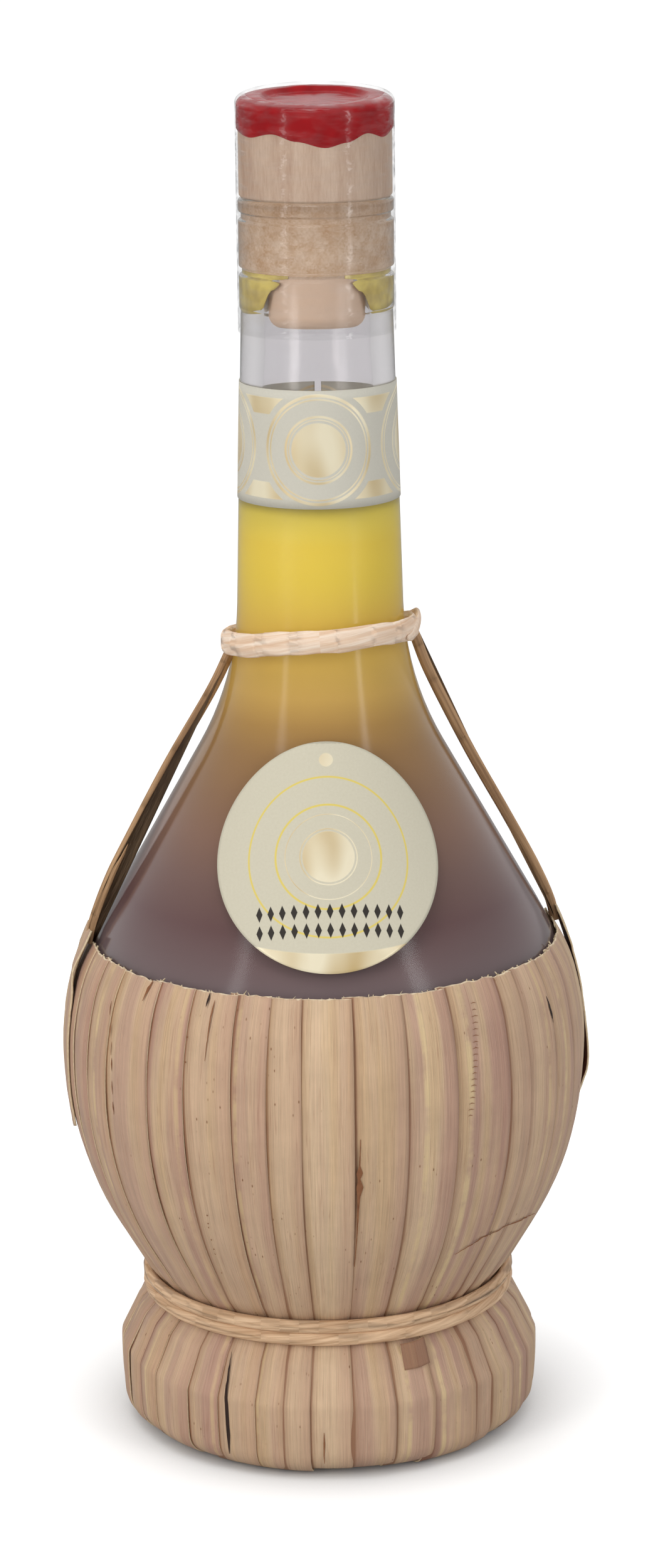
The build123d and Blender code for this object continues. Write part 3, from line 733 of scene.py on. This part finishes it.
bm = laid(120, 40, label_place, (1, 1))
for _, entry in corners(bm):
    side, up = label_spot(*entry.uv)
    radius = cone_radius(label_height + up * cos(shoulder_angle))
    entry.uv = (radius * asin(side / radius) / 10, up / 10)
bmesh.ops.remove_doubles(bm, verts=bm.verts, dist=1e-4)
bmesh.ops.recalc_face_normals(bm, faces=bm.faces)
creams = ("#C4BEA9", "#CEC9B6")
round_paper = paper_and_foil("foiled_cream_paper", creams, label_foil, label_tint, label_ink)
disc = add_piece("shoulder_label", bm, round_paper)
thicken(disc, paper_thickness, -1)
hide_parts("round_label")
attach(disc, "bottle")


# Foot ring: bound straw under the flask's round bottom, seen only from below. Its
# straws, about 1 mm wide, run round it.
bound_straw, tree, shader = material("bound_straw")
split = node(tree, "SeparateXYZ", node(tree, "TexCoord").outputs["Object"]).outputs
reach = apart(tree, node(tree, "CombineXYZ", split["X"], split["Y"]))
turned = node(tree, "Math", split["Y"], split["X"], operation="ARCTAN2")
turned = node(tree, "Math", turned, 0.002, operation="MULTIPLY")
wound = node(tree, "CombineXYZ", reach, split["Z"], turned)
straws = node(tree, "TexNoise", wound, Scale=900.0, Detail=3.0)
ramp = node(tree, "ValToRGB", straws, stops=((0.3, "#7A5C36"), (0.7, "#C9A871")))
dent = node(tree, "Bump", Height=straws, Strength=0.8, Distance=0.0006)
feed(tree, shader, Base_Color=ramp, Roughness=0.75, Normal=dent)
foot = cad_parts["base_ring"]
foot.data.materials.clear()
foot.data.materials.append(bound_straw)


# Leaf strips: dried cattail leaves, each lapped over the next, pressed flat and drawn
# in at the waist. Their long fibres show as fine lines, with yellow veins, pink and
# tan bands, and a pale torn end at the rim.
leaf_seat = 1.5
leaf_thickness = 0.3
lap_width = 0.9
strip_step = 0.3
foot_radius = 38.6
foot_height = 14.4
rim_height = 93.0
pinch_radius = 31.9
pinch_half = 1.65
tie_height = 26.6
flank_bend = 31.3
torn_from = 0.975
strip_steps = (14, 190)
fibres_per_strip = 4
bulge_top = 20
lean_from = 85
blade_radius = 44
strip_widths = (
    13.0, 9.5, 9.0, 14.0, 10.0, 11.3, 7.9, 7.4, 11.5, 11.6, 11.5,
    14.2, 6.6, 10.5, 10.5, 11.0, 10.5, 13.0, 11.5, 10.0, 12.5, 11.0,
    9.5, 12.0, 11.0, 10.5, 12.0, 9.5, 11.5, 12.0, 10.5, 11.0, 12.5,
)
rim_steps = (0.0, 0.5, 0.2, 0.9, 0.4, 0.7, 0.1, 0.6, 1.0, 0.3, 0.8)
# Tone, blush and the vein's place across the strips that the photograph shows; a vein
# at 2 is none.
strip_looks = {
    1: (0.2, 0.7, 0.1), 2: (0.35, 0.7, -0.2), 3: (0.4, 0.7, 0.15), 4: (0.55, 0.6, 2.0),
    5: (0.5, 0.8, 0.75), 6: (0.5, 0.2, 2.0), 7: (0.55, 0.5, -0.35), 8: (0.6, 0.1, -0.55),
    9: (0.78, 0.2, 2.0), 10: (0.5, 0.6, 2.0), 11: (0.72, 0.7, -0.1), 12: (0.45, 0.9, -0.3),
    13: (0.45, 0.3, 2.0), 14: (0.55, 0.4, 0.5), 15: (0.4, 0.9, 0.1), 16: (0.45, 0.8, 2.0),
}


def evenly(line, spacing):
    """Points of a polyline about spacing apart, and its length."""
    reached = [0.0]
    for a, b in zip(line, line[1:]):
        reached.append(reached[-1] + (b - a).length)
    count = round(reached[-1] / spacing)
    points = []
    i = 0
    for n in range(count + 1):
        target = reached[-1] * n / count
        while i < len(line) - 2 and reached[i + 1] < target:
            i += 1
        share = (target - reached[i]) / max(1e-9, reached[i + 1] - reached[i])
        points.append(line[i].lerp(line[i + 1], share))
    return points, reached[-1]


def mark(bm, **values):
    """Give every point of a bmesh the same value in each named layer."""
    for name, value in values.items():
        layer = bm.verts.layers.float.new(name)
        for vert in bm.verts:
            vert[layer] = value


flank_out = leaf_seat / cos(flank_angle) + (flank_bend - pinch_flank[1]) * tan(flank_angle)
basket_points, basket_radii = flask_outline(leaf_seat, 0, (0, 0))
leaf_line = [
    (27.0, 0), (foot_radius, 0), (foot_radius, foot_height), (35.2, 21.4),
    (pinch_radius, tie_height - pinch_half), (pinch_radius, tie_height + pinch_half),
    (pinch_flank[0] + flank_out, flank_bend), basket_points[2], basket_points[3],
    (cone_radius(101, leaf_seat), 101),
]
leaf_line = rounded(leaf_line, [5, 2, 2, 1.2, 1.2, 2.5, basket_radii[1], basket_radii[2]])
leaf_points, leaf_length = evenly(leaf_line, 0.5)
rim_index = max(i for i, p in enumerate(leaf_points) if p.y <= rim_height)

# In the leaf's material, u runs across and v along the blade, in centimetres. Fibres are
# drawn 0.2 mm wide, as finer ones don't show.
smooth = {"interpolation_type": "SMOOTHSTEP"}
cattail_leaf, tree, shader = material("dried_cattail_leaf")
place = node(tree, "TexCoord").outputs["UV"]
tone, blush, lap, under, vein, rim = (
    node(tree, "Attribute", attribute_name=name).outputs["Fac"]
    for name in ("tone", "blush", "lap", "under", "vein", "rim")
)
fine = stretched(tree, place, (48.0, 0.7, 1.0), Scale=1.0, Detail=4.0, Roughness=0.65)
folds = stretched(
    tree, place, (8.0, 0.1, 1.0), Scale=1.0, Detail=3.0, Roughness=0.6, Distortion=0.1
)
zones = stretched(tree, place, (2.6, 0.12, 1.0), Scale=1.0, Detail=2.0)
cloud = node(tree, "TexNoise", place, Scale=1.3, Detail=4.0, Roughness=0.6)
colour = node(tree, "MixRGB", tone, "#B49279", "#E0C5A2")
pink = node(tree, "MapRange", zones, 0.42, 0.62, **smooth)
pink = node(tree, "Math", pink, blush, operation="MULTIPLY")
colour = node(tree, "MixRGB", pink, colour, "#B38E7E")
straw = node(tree, "MapRange", zones, 0.5, 0.32, 0.0, 0.45, **smooth)
colour = node(tree, "MixRGB", straw, colour, "#C5A57B")
shade = node(tree, "MapRange", fine, 0.25, 0.75, 0.8, 1.16)
for pattern in (cloud, folds):
    change = node(tree, "MapRange", pattern, 0.3, 0.7, 0.93, 1.05)
    shade = node(tree, "Math", shade, change, operation="MULTIPLY")
colour = node(tree, "VectorMath", colour, Scale=shade, operation="SCALE")
crack = node(tree, "MapRange", off(tree, folds, 0.5), 0.012, 0.003, 0.0, 0.3)
colour = node(tree, "MixRGB", crack, colour, "#96664F")
veined = node(tree, "MapRange", off(tree, lap, vein), 0.12, 0.05, 0.0, 0.7)
broken = node(tree, "MapRange", cloud, 0.35, 0.6, **smooth)
veined = node(tree, "Math", veined, broken, operation="MULTIPLY")
colour = node(tree, "MixRGB", veined, colour, "#D8C092")
# Painted shadow: darker and browner along the neighbour's lapping edge, which shades it;
# under is the distance from that edge in mm.
painted_lap_shadow = node(tree, "MapRange", under, 0.5, 0.1, 0.0, 0.5, **smooth)
painted_lap_shade = node(tree, "MapRange", under, 2.0, 0.2, **smooth)
dark = node(tree, "Math", painted_lap_shade, 0.28, painted_lap_shadow, operation="MULTIPLY_ADD")
colour = node(tree, "MixRGB", dark, colour, "#7E4E34")
# Painted shade: each leaf turns darker and pinker towards its right flank, away from the light from
# the left.
painted_flank_shade = node(tree, "MapRange", lap, 0.1, 1.0, 0.0, 0.36, **smooth)
colour = node(tree, "MixRGB", painted_flank_shade, colour, "#B58A76")
cut = node(tree, "MapRange", rim, 0.35, 0.7, **smooth)
colour = node(tree, "MixRGB", cut, colour, "#EBD9BA")
spots = node(tree, "TexVoronoi", node(tree, "Mapping", place, Scale=(9.0, 3.5, 1.0)), Scale=1.0)
spots = node(tree, "MapRange", spots, 0.14, 0.05)
sparse = node(tree, "TexNoise", place, Scale=0.9, Detail=1.0)
sparse = node(tree, "MapRange", sparse, 0.52, 0.64, **smooth)
spots = node(tree, "Math", spots, sparse, operation="MULTIPLY")
colour = node(tree, "MixRGB", spots, colour, "#7C5434")
height = node(tree, "Math", fine, 0.25, folds, operation="MULTIPLY_ADD")
dent = node(tree, "Bump", Height=height, Strength=0.6, Distance=0.0006)
feed(tree, shader, Base_Color=colour, Roughness=0.5, Specular_IOR_Level=0.4, Normal=dent)

pale_ends = ((0.0, "#C9AE84"), (1.0, "#EFE2C6"))
leaf_pith = mottled("torn_leaf_pith", 1500.0, 3.0, pale_ends, Roughness=0.85)[0]

strip_points = []
strip_start = -88.5
noise.seed_set(7)
for index, width in enumerate(strip_widths):
    strip_end = strip_start + 360 * width / sum(strip_widths)
    middle = radians((strip_start + strip_end) / 2)
    half_angle = radians(strip_end - strip_start) / 2
    strip_start = strip_end
    seed = Vector((index * 7.3, 3.1, 0))
    crown = 0.34 + 0.4 * (0.5 + noise.noise(seed))
    rim_drop = 0.35 * rim_steps[index % len(rim_steps)]
    foot_out = 0.55 * noise.noise(seed * 1.3 + Vector((0, 0, 4)))
    foot_rise = 0.8 * rim_steps[(index * 4) % len(rim_steps)]

    def rough(x, y, z):
        """Smooth noise of this strip alone."""
        return noise.noise(seed + Vector((x, y, z)))

    def strip_place(u, v):
        """Point of one strip's outside: u across it, v from its tuck to the rim."""
        side = 2 * u - 1
        spot = v * rim_index
        i = min(int(spot), len(leaf_points) - 2)
        p = leaf_points[i].lerp(leaf_points[i + 1], spot - i)
        across = side * (p.x * sin(half_angle) + lap_width)
        across += 0.35 * rough(0, p.y * 0.035, 1)
        drawn = 1 + 0.5 * exp(-(((p.y - tie_height) / 9) ** 2))
        wave = 0.14 * rough(side * 0.8, p.y * 0.07, 5) + 0.08 * rough(side * 3.0, p.y * 0.02, 9)
        out = strip_step * side + crown * (0.4 - side * side) * drawn + wave
        if p.y < bulge_top:
            out += foot_out * sin(pi * p.y / bulge_top)
        if p.y < 3:
            out *= p.y / 3
        lean = min(1, max(0, (p.y - lean_from) / (rim_height - lean_from))) ** 2
        out = out * (1 - 0.6 * lean) - 0.8 * lean
        flat = p.x * cos(half_angle * 0.85)
        distance = hypot(flat, across) if p.x > 30 else p.x
        radius = 0.5 * (distance + p.x) + out - 0.8 * max(0, 1 - p.y / 13) ** 2
        height = p.y + foot_rise * max(0, 1 - p.y / 9)
        if v > torn_from:
            torn = 0.22 * rough(side * 3.0, 2, 2) + 0.12 * rough(side * 15, 1, 7)
            torn = (v - torn_from) / (1 - torn_from) * (torn - rim_drop)
            height += torn
            radius -= torn * tan(shoulder_angle)
        return polar(radius, middle + atan2(across, flat), height)

    blade = (2 * (blade_radius * sin(half_angle) + lap_width) / 10, leaf_length / 10)
    bm = laid(*strip_steps, strip_place, blade)
    strip_points += [vert.co.copy() for vert in bm.verts]
    guess = (
        0.5 + 0.35 * noise.noise(seed * 1.7),
        0.5 + 0.5 * noise.noise(seed * 2.3),
        1.3 * noise.noise(seed * 3.1),
    )
    tone, blush, vein = strip_looks.get(index + 1, guess)
    lap_layer, under_layer, rim_layer = (
        bm.verts.layers.float.new(name) for name in ("lap", "under", "rim")
    )
    for vert, entry in corners(bm):
        side = 2 * entry.uv.x / blade[0] - 1
        half_width = hypot(*vert.co.xy) * sin(half_angle) + lap_width
        vert[lap_layer] = side
        vert[under_layer] = (side + 1) * half_width - 2 * lap_width
        at_rim = entry.uv.y > blade[1] - 0.01
        vert[rim_layer] = at_rim * (0.5 + abs(rough(side * 4, 0, 3)))
        entry.uv += Vector((index * 3.7, (index * 5.3) % 11))
    mark(bm, tone=tone, blush=blush, vein=vein)
    for _ in range(fibres_per_strip):
        draw = noise.random_vector()
        u = 0.5 + 0.47 * draw.x
        foot = strip_place(u, 1.0)
        beside = strip_place(u + 0.018, 1.0)
        reach = 0.25 + 0.9 * abs(draw.y) ** 5
        tip = foot * (1 - 0.5 * reach * tan(shoulder_angle) / foot.xy.length)
        tip += (beside - foot).normalized() * draw.z * reach
        tip.z = foot.z + reach * 0.8
        fibre = bm.faces.new([bm.verts.new(p) for p in (foot, beside, tip)])
        fibre.material_index = 1
    strip = add_piece(f"leaf_{index + 1:02d}", bm, cattail_leaf, leaf_pith)
    thicken(strip, leaf_thickness, -1, edge=1)
    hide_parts(f"strip_{index + 1:02d}")
    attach(strip, "bottle")


# Leaf scars: brown cracks, stitch-like ticks, dark dots and a loose fibre; and near-black
# slivers as painted shadow in the gaps where two leaves stand apart. They lie as slivers on
# the strips' surface.
unrolled_radius = 40
surface = kdtree.KDTree(len(strip_points))
for index, point in enumerate(strip_points):
    surface.insert((unrolled_radius * atan2(point.x, -point.y), point.z, 0), index)
surface.balance()


def on_leaves(along, height):
    """Point just above the leaves, from its place on the basket unrolled."""
    found = surface.find_n((along, height, 0), 5)
    radius = max(strip_points[i].xy.length for _, i, _ in found) + 0.05
    return polar(radius, along / unrolled_radius, height)


def sliver_mesh(slivers):
    """Thin flat slivers, each through (angle, height, half width) stops."""
    bm = bmesh.new()
    for stops in slivers:
        stops = [Vector((unrolled_radius * radians(a), z, half)) for a, z, half in stops]
        route = []
        for start, end in zip(stops, stops[1:]):
            pieces = ceil((end - start).length / 0.7)
            route += [start.lerp(end, i / pieces) for i in range(pieces)]
        route.append(stops[-1])
        last = len(route) - 1
        grid = bmesh.ops.create_grid(bm, x_segments=2, y_segments=last, size=0.5)
        for vert in grid["verts"]:
            i = round((vert.co.y + 0.5) * last)
            way = (route[min(last, i + 1)] - route[max(0, i - 1)]).xy
            way = way.normalized() * 2 * vert.co.x * route[i].z
            vert.co = on_leaves(route[i].x - way.y, route[i].y + way.x)
    bmesh.ops.recalc_face_normals(bm, faces=bm.faces)
    return bm


scars = [
    [
        (7.2, 68, 0.05), (7.0, 63, 0.12), (7.0, 61.6, 0.5), (6.9, 60.4, 0.22), (7.1, 58.8, 0.55),
        (6.9, 57, 0.25), (6.8, 54, 0.16), (6.8, 50, 0.1), (6.6, 42, 0.06),
    ],
    [(34, 41.4, 0.05), (41, 43.6, 0.14), (49, 44.2, 0.1), (58, 43.8, 0.14), (66, 42.8, 0.05)],
    [(-1.5, 9.6, 0.04), (-1.5, 7.4, 0.16), (-1.6, 5, 0.1), (-1.5, 3.4, 0.04)],
    [(-44.5, 92.5, 0.04), (-45.0, 91.0, 0.22), (-45.6, 88.8, 0.05)],
    [(-26.0, 91.2, 0.04), (-26.1, 89.8, 0.12), (-26.4, 84.0, 0.07), (-26.6, 81.0, 0.03)],
]
for angle, height, size in (
    (-56.4, 86.9, 0.1), (-55.2, 83.2, 0.13), (-54.2, 80.0, 0.09),
    (-53.6, 77.2, 0.14), (-53.2, 73.0, 0.1), (-53.0, 69.2, 0.15),
):
    ends = ((angle, height, 0.03), (angle + 0.3, height - 2.4, 0.03))
    scars.append([ends[0], (angle + 0.1, height - 1.1, size), ends[1]])
stitches = 19
for step in range(stitches):
    height = 89.2 - 1.08 * step
    middle = 35.6 - 0.19 * step
    reach = 0.7 + 0.35 * noise.noise(Vector((step * 1.7, 0, 0)))
    ends = ((middle - reach, height, 0.03), (middle + reach, height - 0.05, 0.03))
    scars.append([ends[0], (middle, height + 0.12, 0.07), ends[1]])
for angle, height in (
    (-28.3, 51.5), (-28.5, 49.8), (-28.6, 48.9), (-28.8, 46.2), (-28.9, 44.1), (-29.0, 43.0),
    (-29.2, 38.6), (-31.6, 84.5), (-31.4, 80.2),
):
    dot = ((0.18, 0.03), (0, 0.14), (-0.18, 0.03))
    scars.append([(angle, height + up, half) for up, half in dot])
# Painted shadow: near-black slivers in the gaps where two leaves stand apart.
gap_shadows = [
    [(59.6, 86.2, 0.03), (60.0, 84.4, 0.26), (60.3, 83.0, 0.3), (60.6, 81.2, 0.04)],
    [
        (-30.0, 22.0, 0.03), (-29.4, 18.0, 0.2), (-28.6, 13.4, 0.36), (-28.3, 7.4, 0.38),
        (-28.4, 3.6, 0.06),
    ],
    [(-27.6, 92.3, 0.04), (-27.7, 91.2, 0.2), (-27.8, 90.0, 0.04)],
]
for name, slivers, dark, light in (
    ("leaf_scars", scars, "#6E4026", "#9A6A46"),
    ("leaf_gap_shadows", gap_shadows, "#1C100C", "#38221A"),
):
    browns = ((0.0, dark), (1.0, light))
    scar_and_shadow_brown = mottled("dried_" + name, 900.0, 2.0, browns, Roughness=0.8)[0]
    marks = add_piece(name, sliver_mesh(slivers), scar_and_shadow_brown)
    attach(marks, "bottle")


# Waist tie: twisted raffia wound twice round the waist and pressed flat, its fibres
# running aslant.
def smoothed(points, steps):
    """Points on a smooth line through the given ones."""
    line = []
    points = [Vector(p) for p in points]
    padded = [points[0] * 2 - points[1]] + points + [points[-1] * 2 - points[-2]]
    for a, b, c, d in zip(padded, padded[1:], padded[2:], padded[3:]):
        for i in range(steps):
            t = i / steps
            bend = (2 * a - 5 * b + 4 * c - d) * t * t + (3 * b - a - 3 * c + d) * t**3
            line.append(0.5 * (2 * b + (c - a) * t + bend))
    return line + [points[-1]]


def wrapped_cord(line, section, around=20, closed=False):
    """A cord along a line round the upright axis; section(t, angle) gives its reach."""
    count = len(line) - 1
    length = sum((b - a).length for a, b in zip(line, line[1:]))

    def cord_place(u, v):
        """Point of the cord: u round it, v along it."""
        i = min(int(v * count + 1e-6), count)
        here = line[i]
        if closed:
            before, after = line[(i - 1) % count], line[(i + 1) % count]
        else:
            before, after = line[max(0, i - 1)], line[min(count, i + 1)]
        along = (after - before).normalized()
        out = Vector((here.x, here.y, 0)).normalized()
        out = (out - along * out.dot(along)).normalized()
        deep, high = section(v * length, tau * u)
        return here + out * deep + along.cross(out) * high

    girth = pi * (section(0, 0)[0] + section(0, pi / 2)[1]) / 10
    bm = laid(around, count, cord_place, (girth, length / 10), closed=True)
    if not closed:
        ends = [edge for edge in bm.edges if edge.is_boundary]
        bmesh.ops.holes_fill(bm, edges=ends, sides=0)
        bmesh.ops.recalc_face_normals(bm, faces=bm.faces)
    return bm


def raffia(name, light, dark, slant):
    """Raffia or reed: fibres drawn 0.2 mm wide, which run aslant round the cord."""
    made, tree, shader = material(name)
    split = node(tree, "SeparateXYZ", node(tree, "TexCoord").outputs["UV"]).outputs
    aslant = node(tree, "Math", split["Y"], slant, split["X"], operation="MULTIPLY_ADD")
    lines = node(tree, "CombineXYZ", aslant, split["Y"])
    fine = stretched(tree, lines, (55.0, 1.1, 1.0), Scale=1.0, Detail=4.0, Roughness=0.7)
    broad = stretched(tree, lines, (14.0, 0.35, 1.0), Scale=1.0, Detail=2.0)
    mixed = node(tree, "Math", fine, 0.5, broad, operation="MULTIPLY_ADD")
    ramp = node(tree, "ValToRGB", mixed, stops=((0.5, dark), (0.9, light)))
    dent = node(tree, "Bump", Height=mixed, Strength=0.5, Distance=0.0004)
    feed(tree, shader, Base_Color=ramp, Roughness=0.6, Normal=dent)
    return made


tie_radius = 33.55
tie_bottom = 25.45
tie_pitch = 2.35
climb_angle = 75.0
level_span = 360 - climb_angle
start = 180 + climb_angle / 2
tie_route = []
for turn in range(2):
    for step in range(96):
        angle = radians(start + turn * 360 + level_span * step / 96)
        uneven = 0.12 * noise.noise(Vector((angle * 1.3, turn * 9, 0)))
        tie_route.append(polar(tie_radius, angle, tie_bottom + turn * tie_pitch + uneven))
    for step in range(24 * (turn == 0)):
        share = step / 24
        angle = radians(start + level_span + climb_angle * share)
        climbed = tie_pitch * share * share * (3 - 2 * share)
        tie_route.append(polar(tie_radius, angle, tie_bottom + climbed))


def tie_section(along, angle):
    """Half depth and half height of the pressed raffia, with its twist's ridges."""
    ridge = 1 + 0.02 * cos(3 * (angle - along / 11))
    ridge += 0.03 * noise.noise(Vector((along * 0.12, angle, 0)))
    return 0.95 * ridge * cos(angle), 1.22 * ridge * sin(angle)


pressed_raffia = raffia("pressed_raffia", "#E9C7A3", "#B9926E", 0.18)
waist = add_piece("waist_raffia", wrapped_cord(tie_route, tie_section), pressed_raffia)
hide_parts("waist_tie")
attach(waist, "bottle")


# Neck tie: one flat twist of paler raffia round the neck, which holds the upper ends
# of the carrying straps, and its folded end at the right.
neck_tie_middle = 17.05
neck_tie_height = 147.8
neck_fall_back = tan(radians(7))
neck_rise_right = tan(radians(4))
fold_stops = [
    (12.4, 11.4, 148.2), (15.8, 6.8, 149.2), (17.2, 2.4, 150.4), (17.2, -1.8, 150.0),
    (16.5, -5.4, 149.0), (15.3, -8.6, 148.6),
]
neck_route = []
for step in range(145):
    angle = tau * (step % 144) / 144
    point = polar(neck_tie_middle, angle, neck_tie_height) + Vector((-0.15, 0.4, 0))
    point.z += point.x * neck_rise_right - point.y * neck_fall_back
    point.z += 0.15 * noise.noise(Vector((point.x * 0.2, point.y * 0.2, 3)))
    neck_route.append(point)


def neck_section(along, angle):
    """Half depth and half height of the flat twist."""
    turned = along / neck_tie_middle
    place = Vector((sin(turned), cos(turned), 0))
    swell = 1 + 0.16 * noise.noise(place * 2.2)
    swell += 0.1 * noise.noise(place * 5 + Vector((0, 0, angle)))
    ridge = 1 + 0.06 * cos(5 * angle - 6 * turned)
    return 0.85 * ridge * cos(angle), 2.1 * swell * ridge * sin(angle)


def fold_section(along, angle):
    """Half depth and half height of the folded end, thin at both ends."""
    share = sin(pi * min(1, along / 21))
    return 0.25 + (0.2 + 0.35 * share) * cos(angle), (0.5 + 0.9 * share) * sin(angle)


pale_raffia = raffia("pale_raffia", "#F6E3D0", "#DDB591", 0.1)
bm = wrapped_cord(neck_route, neck_section, around=28, closed=True)
neck_cord = add_piece("neck_raffia", bm, pale_raffia)
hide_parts("neck_tie")
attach(neck_cord, "bottle")
bm = wrapped_cord(smoothed(fold_stops, 10), fold_section)
fold_end = add_piece("neck_raffia_fold", bm, pale_raffia)
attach(fold_end, "bottle")


# Straps: a split reed each side, from under the rim to the neck tie, brown on its
# rind side. Each stands off the shoulder by the amounts listed.
strap_bottom = 92.0
strap_plane = 8.0
left_stands = (
    (0.0, 0.7), (0.08, 2.0), (0.23, 3.2), (0.38, 3.5), (0.62, 3.7), (0.86, 3.3), (1.0, 3.7),
)
right_stands = (
    (0.0, 0.7), (0.08, 1.9), (0.2, 2.6), (0.37, 2.9), (0.6, 3.1), (0.86, 4.0), (1.0, 5.2),
)


def reed_section(along, angle):
    """Half thickness and half width of the split reed, turning as it rises."""
    twist = 0.6 + along * 0.02
    x = (0.72 + 0.1 * sin(along * 0.13)) * cos(angle)
    x *= 1 + 0.08 * noise.noise(Vector((along * 0.3, angle, 4)))
    y = sin(angle)
    return x * cos(twist) - y * sin(twist), x * sin(twist) + y * cos(twist)


split_reed = raffia("split_reed", "#C09A72", "#7C5A3C", 0.02)
for side, tie_end, angle, stands in (
    ("left", 145.6, -90 + strap_plane, left_stands),
    ("right", 147.4, 90 + strap_plane, right_stands),
):
    route = []
    for share, stand in stands:
        height = strap_bottom + share * (tie_end - strap_bottom)
        route.append(polar(cone_radius(height, stand), radians(angle), height))
    bm = wrapped_cord(smoothed(route, 12), reed_section, around=16)
    reed = add_piece(f"reed_{side}", bm, split_reed)
    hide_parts(f"strap_{side}")
    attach(reed, "bottle")


# Side leaves: the loose end of a leaf outside the basket under each strap, its front edge
# standing off so that its inside shows, painted dark brown as the shade in the opening.
cover_half_width = 4.2
cover_bottom = 58
cover_length = 37
loose_thickness = 0.35
# Painted shade: the inside of the loose leaf is dark brown, for the shade in the opening.
shaded_leaf_inside, tree, shader = material("shaded_leaf_inside")
feed(tree, shader, Base_Color="#5E3327", Roughness=0.6)
for side, front, opening, spread, stand, seed in (
    ("left", 1, 0.8, 0.09, 0.45, 5),
    ("right", -1, 0.18, 0.2, 0.5, 9),
):
    low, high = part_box(f"side_leaf_{side}")
    middle = atan2((low.x + high.x) / 2, -(low.y + high.y) / 2)
    seed = Vector((seed, 1, 1))

    def cover_place(u, v):
        """Point of a side leaf: u across it, v up from its lower end."""
        side = 2 * u - 1
        across = side * cover_half_width * (0.75 + 0.25 * sin(pi * min(1, v * 1.15)))
        height = cover_bottom + cover_length * v
        seat = min((p for p in leaf_points if p.y > 40), key=lambda p: abs(p.y - height)).x
        lift = 0.6 + 0.1 * noise.noise(seed + Vector((across * 0.3, height * 0.1, 0)))
        lift += 0.2 * max(0, v - 0.7) / 0.3
        lifted = exp(-(((v - opening) / spread) ** 2)) * min(1, 7 * v)
        radius = seat + lift + stand * (1 + front * side) * lifted
        if v > 0.9 or v < 0.08:
            height += 1.2 * noise.noise(seed + Vector((across * 0.4, 0, 0)))
        return polar(radius, middle + across / radius, height)

    bm = laid(10, 40, cover_place, (0.84, 3.7))
    mark(bm, tone=0.45, blush=0.6, vein=0.3, lap=0.0, under=9.0, rim=0.0)
    leaf = add_piece(f"side_leaf_end_{side}", bm, cattail_leaf, leaf_pith, shaded_leaf_inside)
    thicken(leaf, loose_thickness, 0, inside=2, edge=1)
    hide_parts(f"side_leaf_{side}")
    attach(leaf, "bottle")


# Leaf tab: the cut end of a brown leaf that pokes out below the waist tie.
tab_angle = radians(26)
tab_half_width = 2.5
tab_bottom = 19.6
tab_length = 4.3
tab_tilt = 0.0875
tab_low_radius = 38.95
tab_slope = 3.4 / 7


def tab_place(u, v):
    """Point of the tab: u across it, v up."""
    across = (2 * u - 1) * tab_half_width
    height = tab_bottom + tab_length * v + tab_tilt * across
    radius = tab_low_radius - (height - foot_height) * tab_slope + 0.25 * cos(across * 0.9)
    return polar(radius, tab_angle + across / 35, height)


bm = laid(10, 10, tab_place, (0.5, 0.43))
mark(bm, tone=0.0, blush=0.2, vein=2.0, lap=0.0, under=0.3, rim=0.0)
tab = add_piece("cut_leaf_end", bm, cattail_leaf, leaf_pith)
thicken(tab, loose_thickness, 0, edge=1)
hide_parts("leaf_tab")
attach(tab, "bottle")
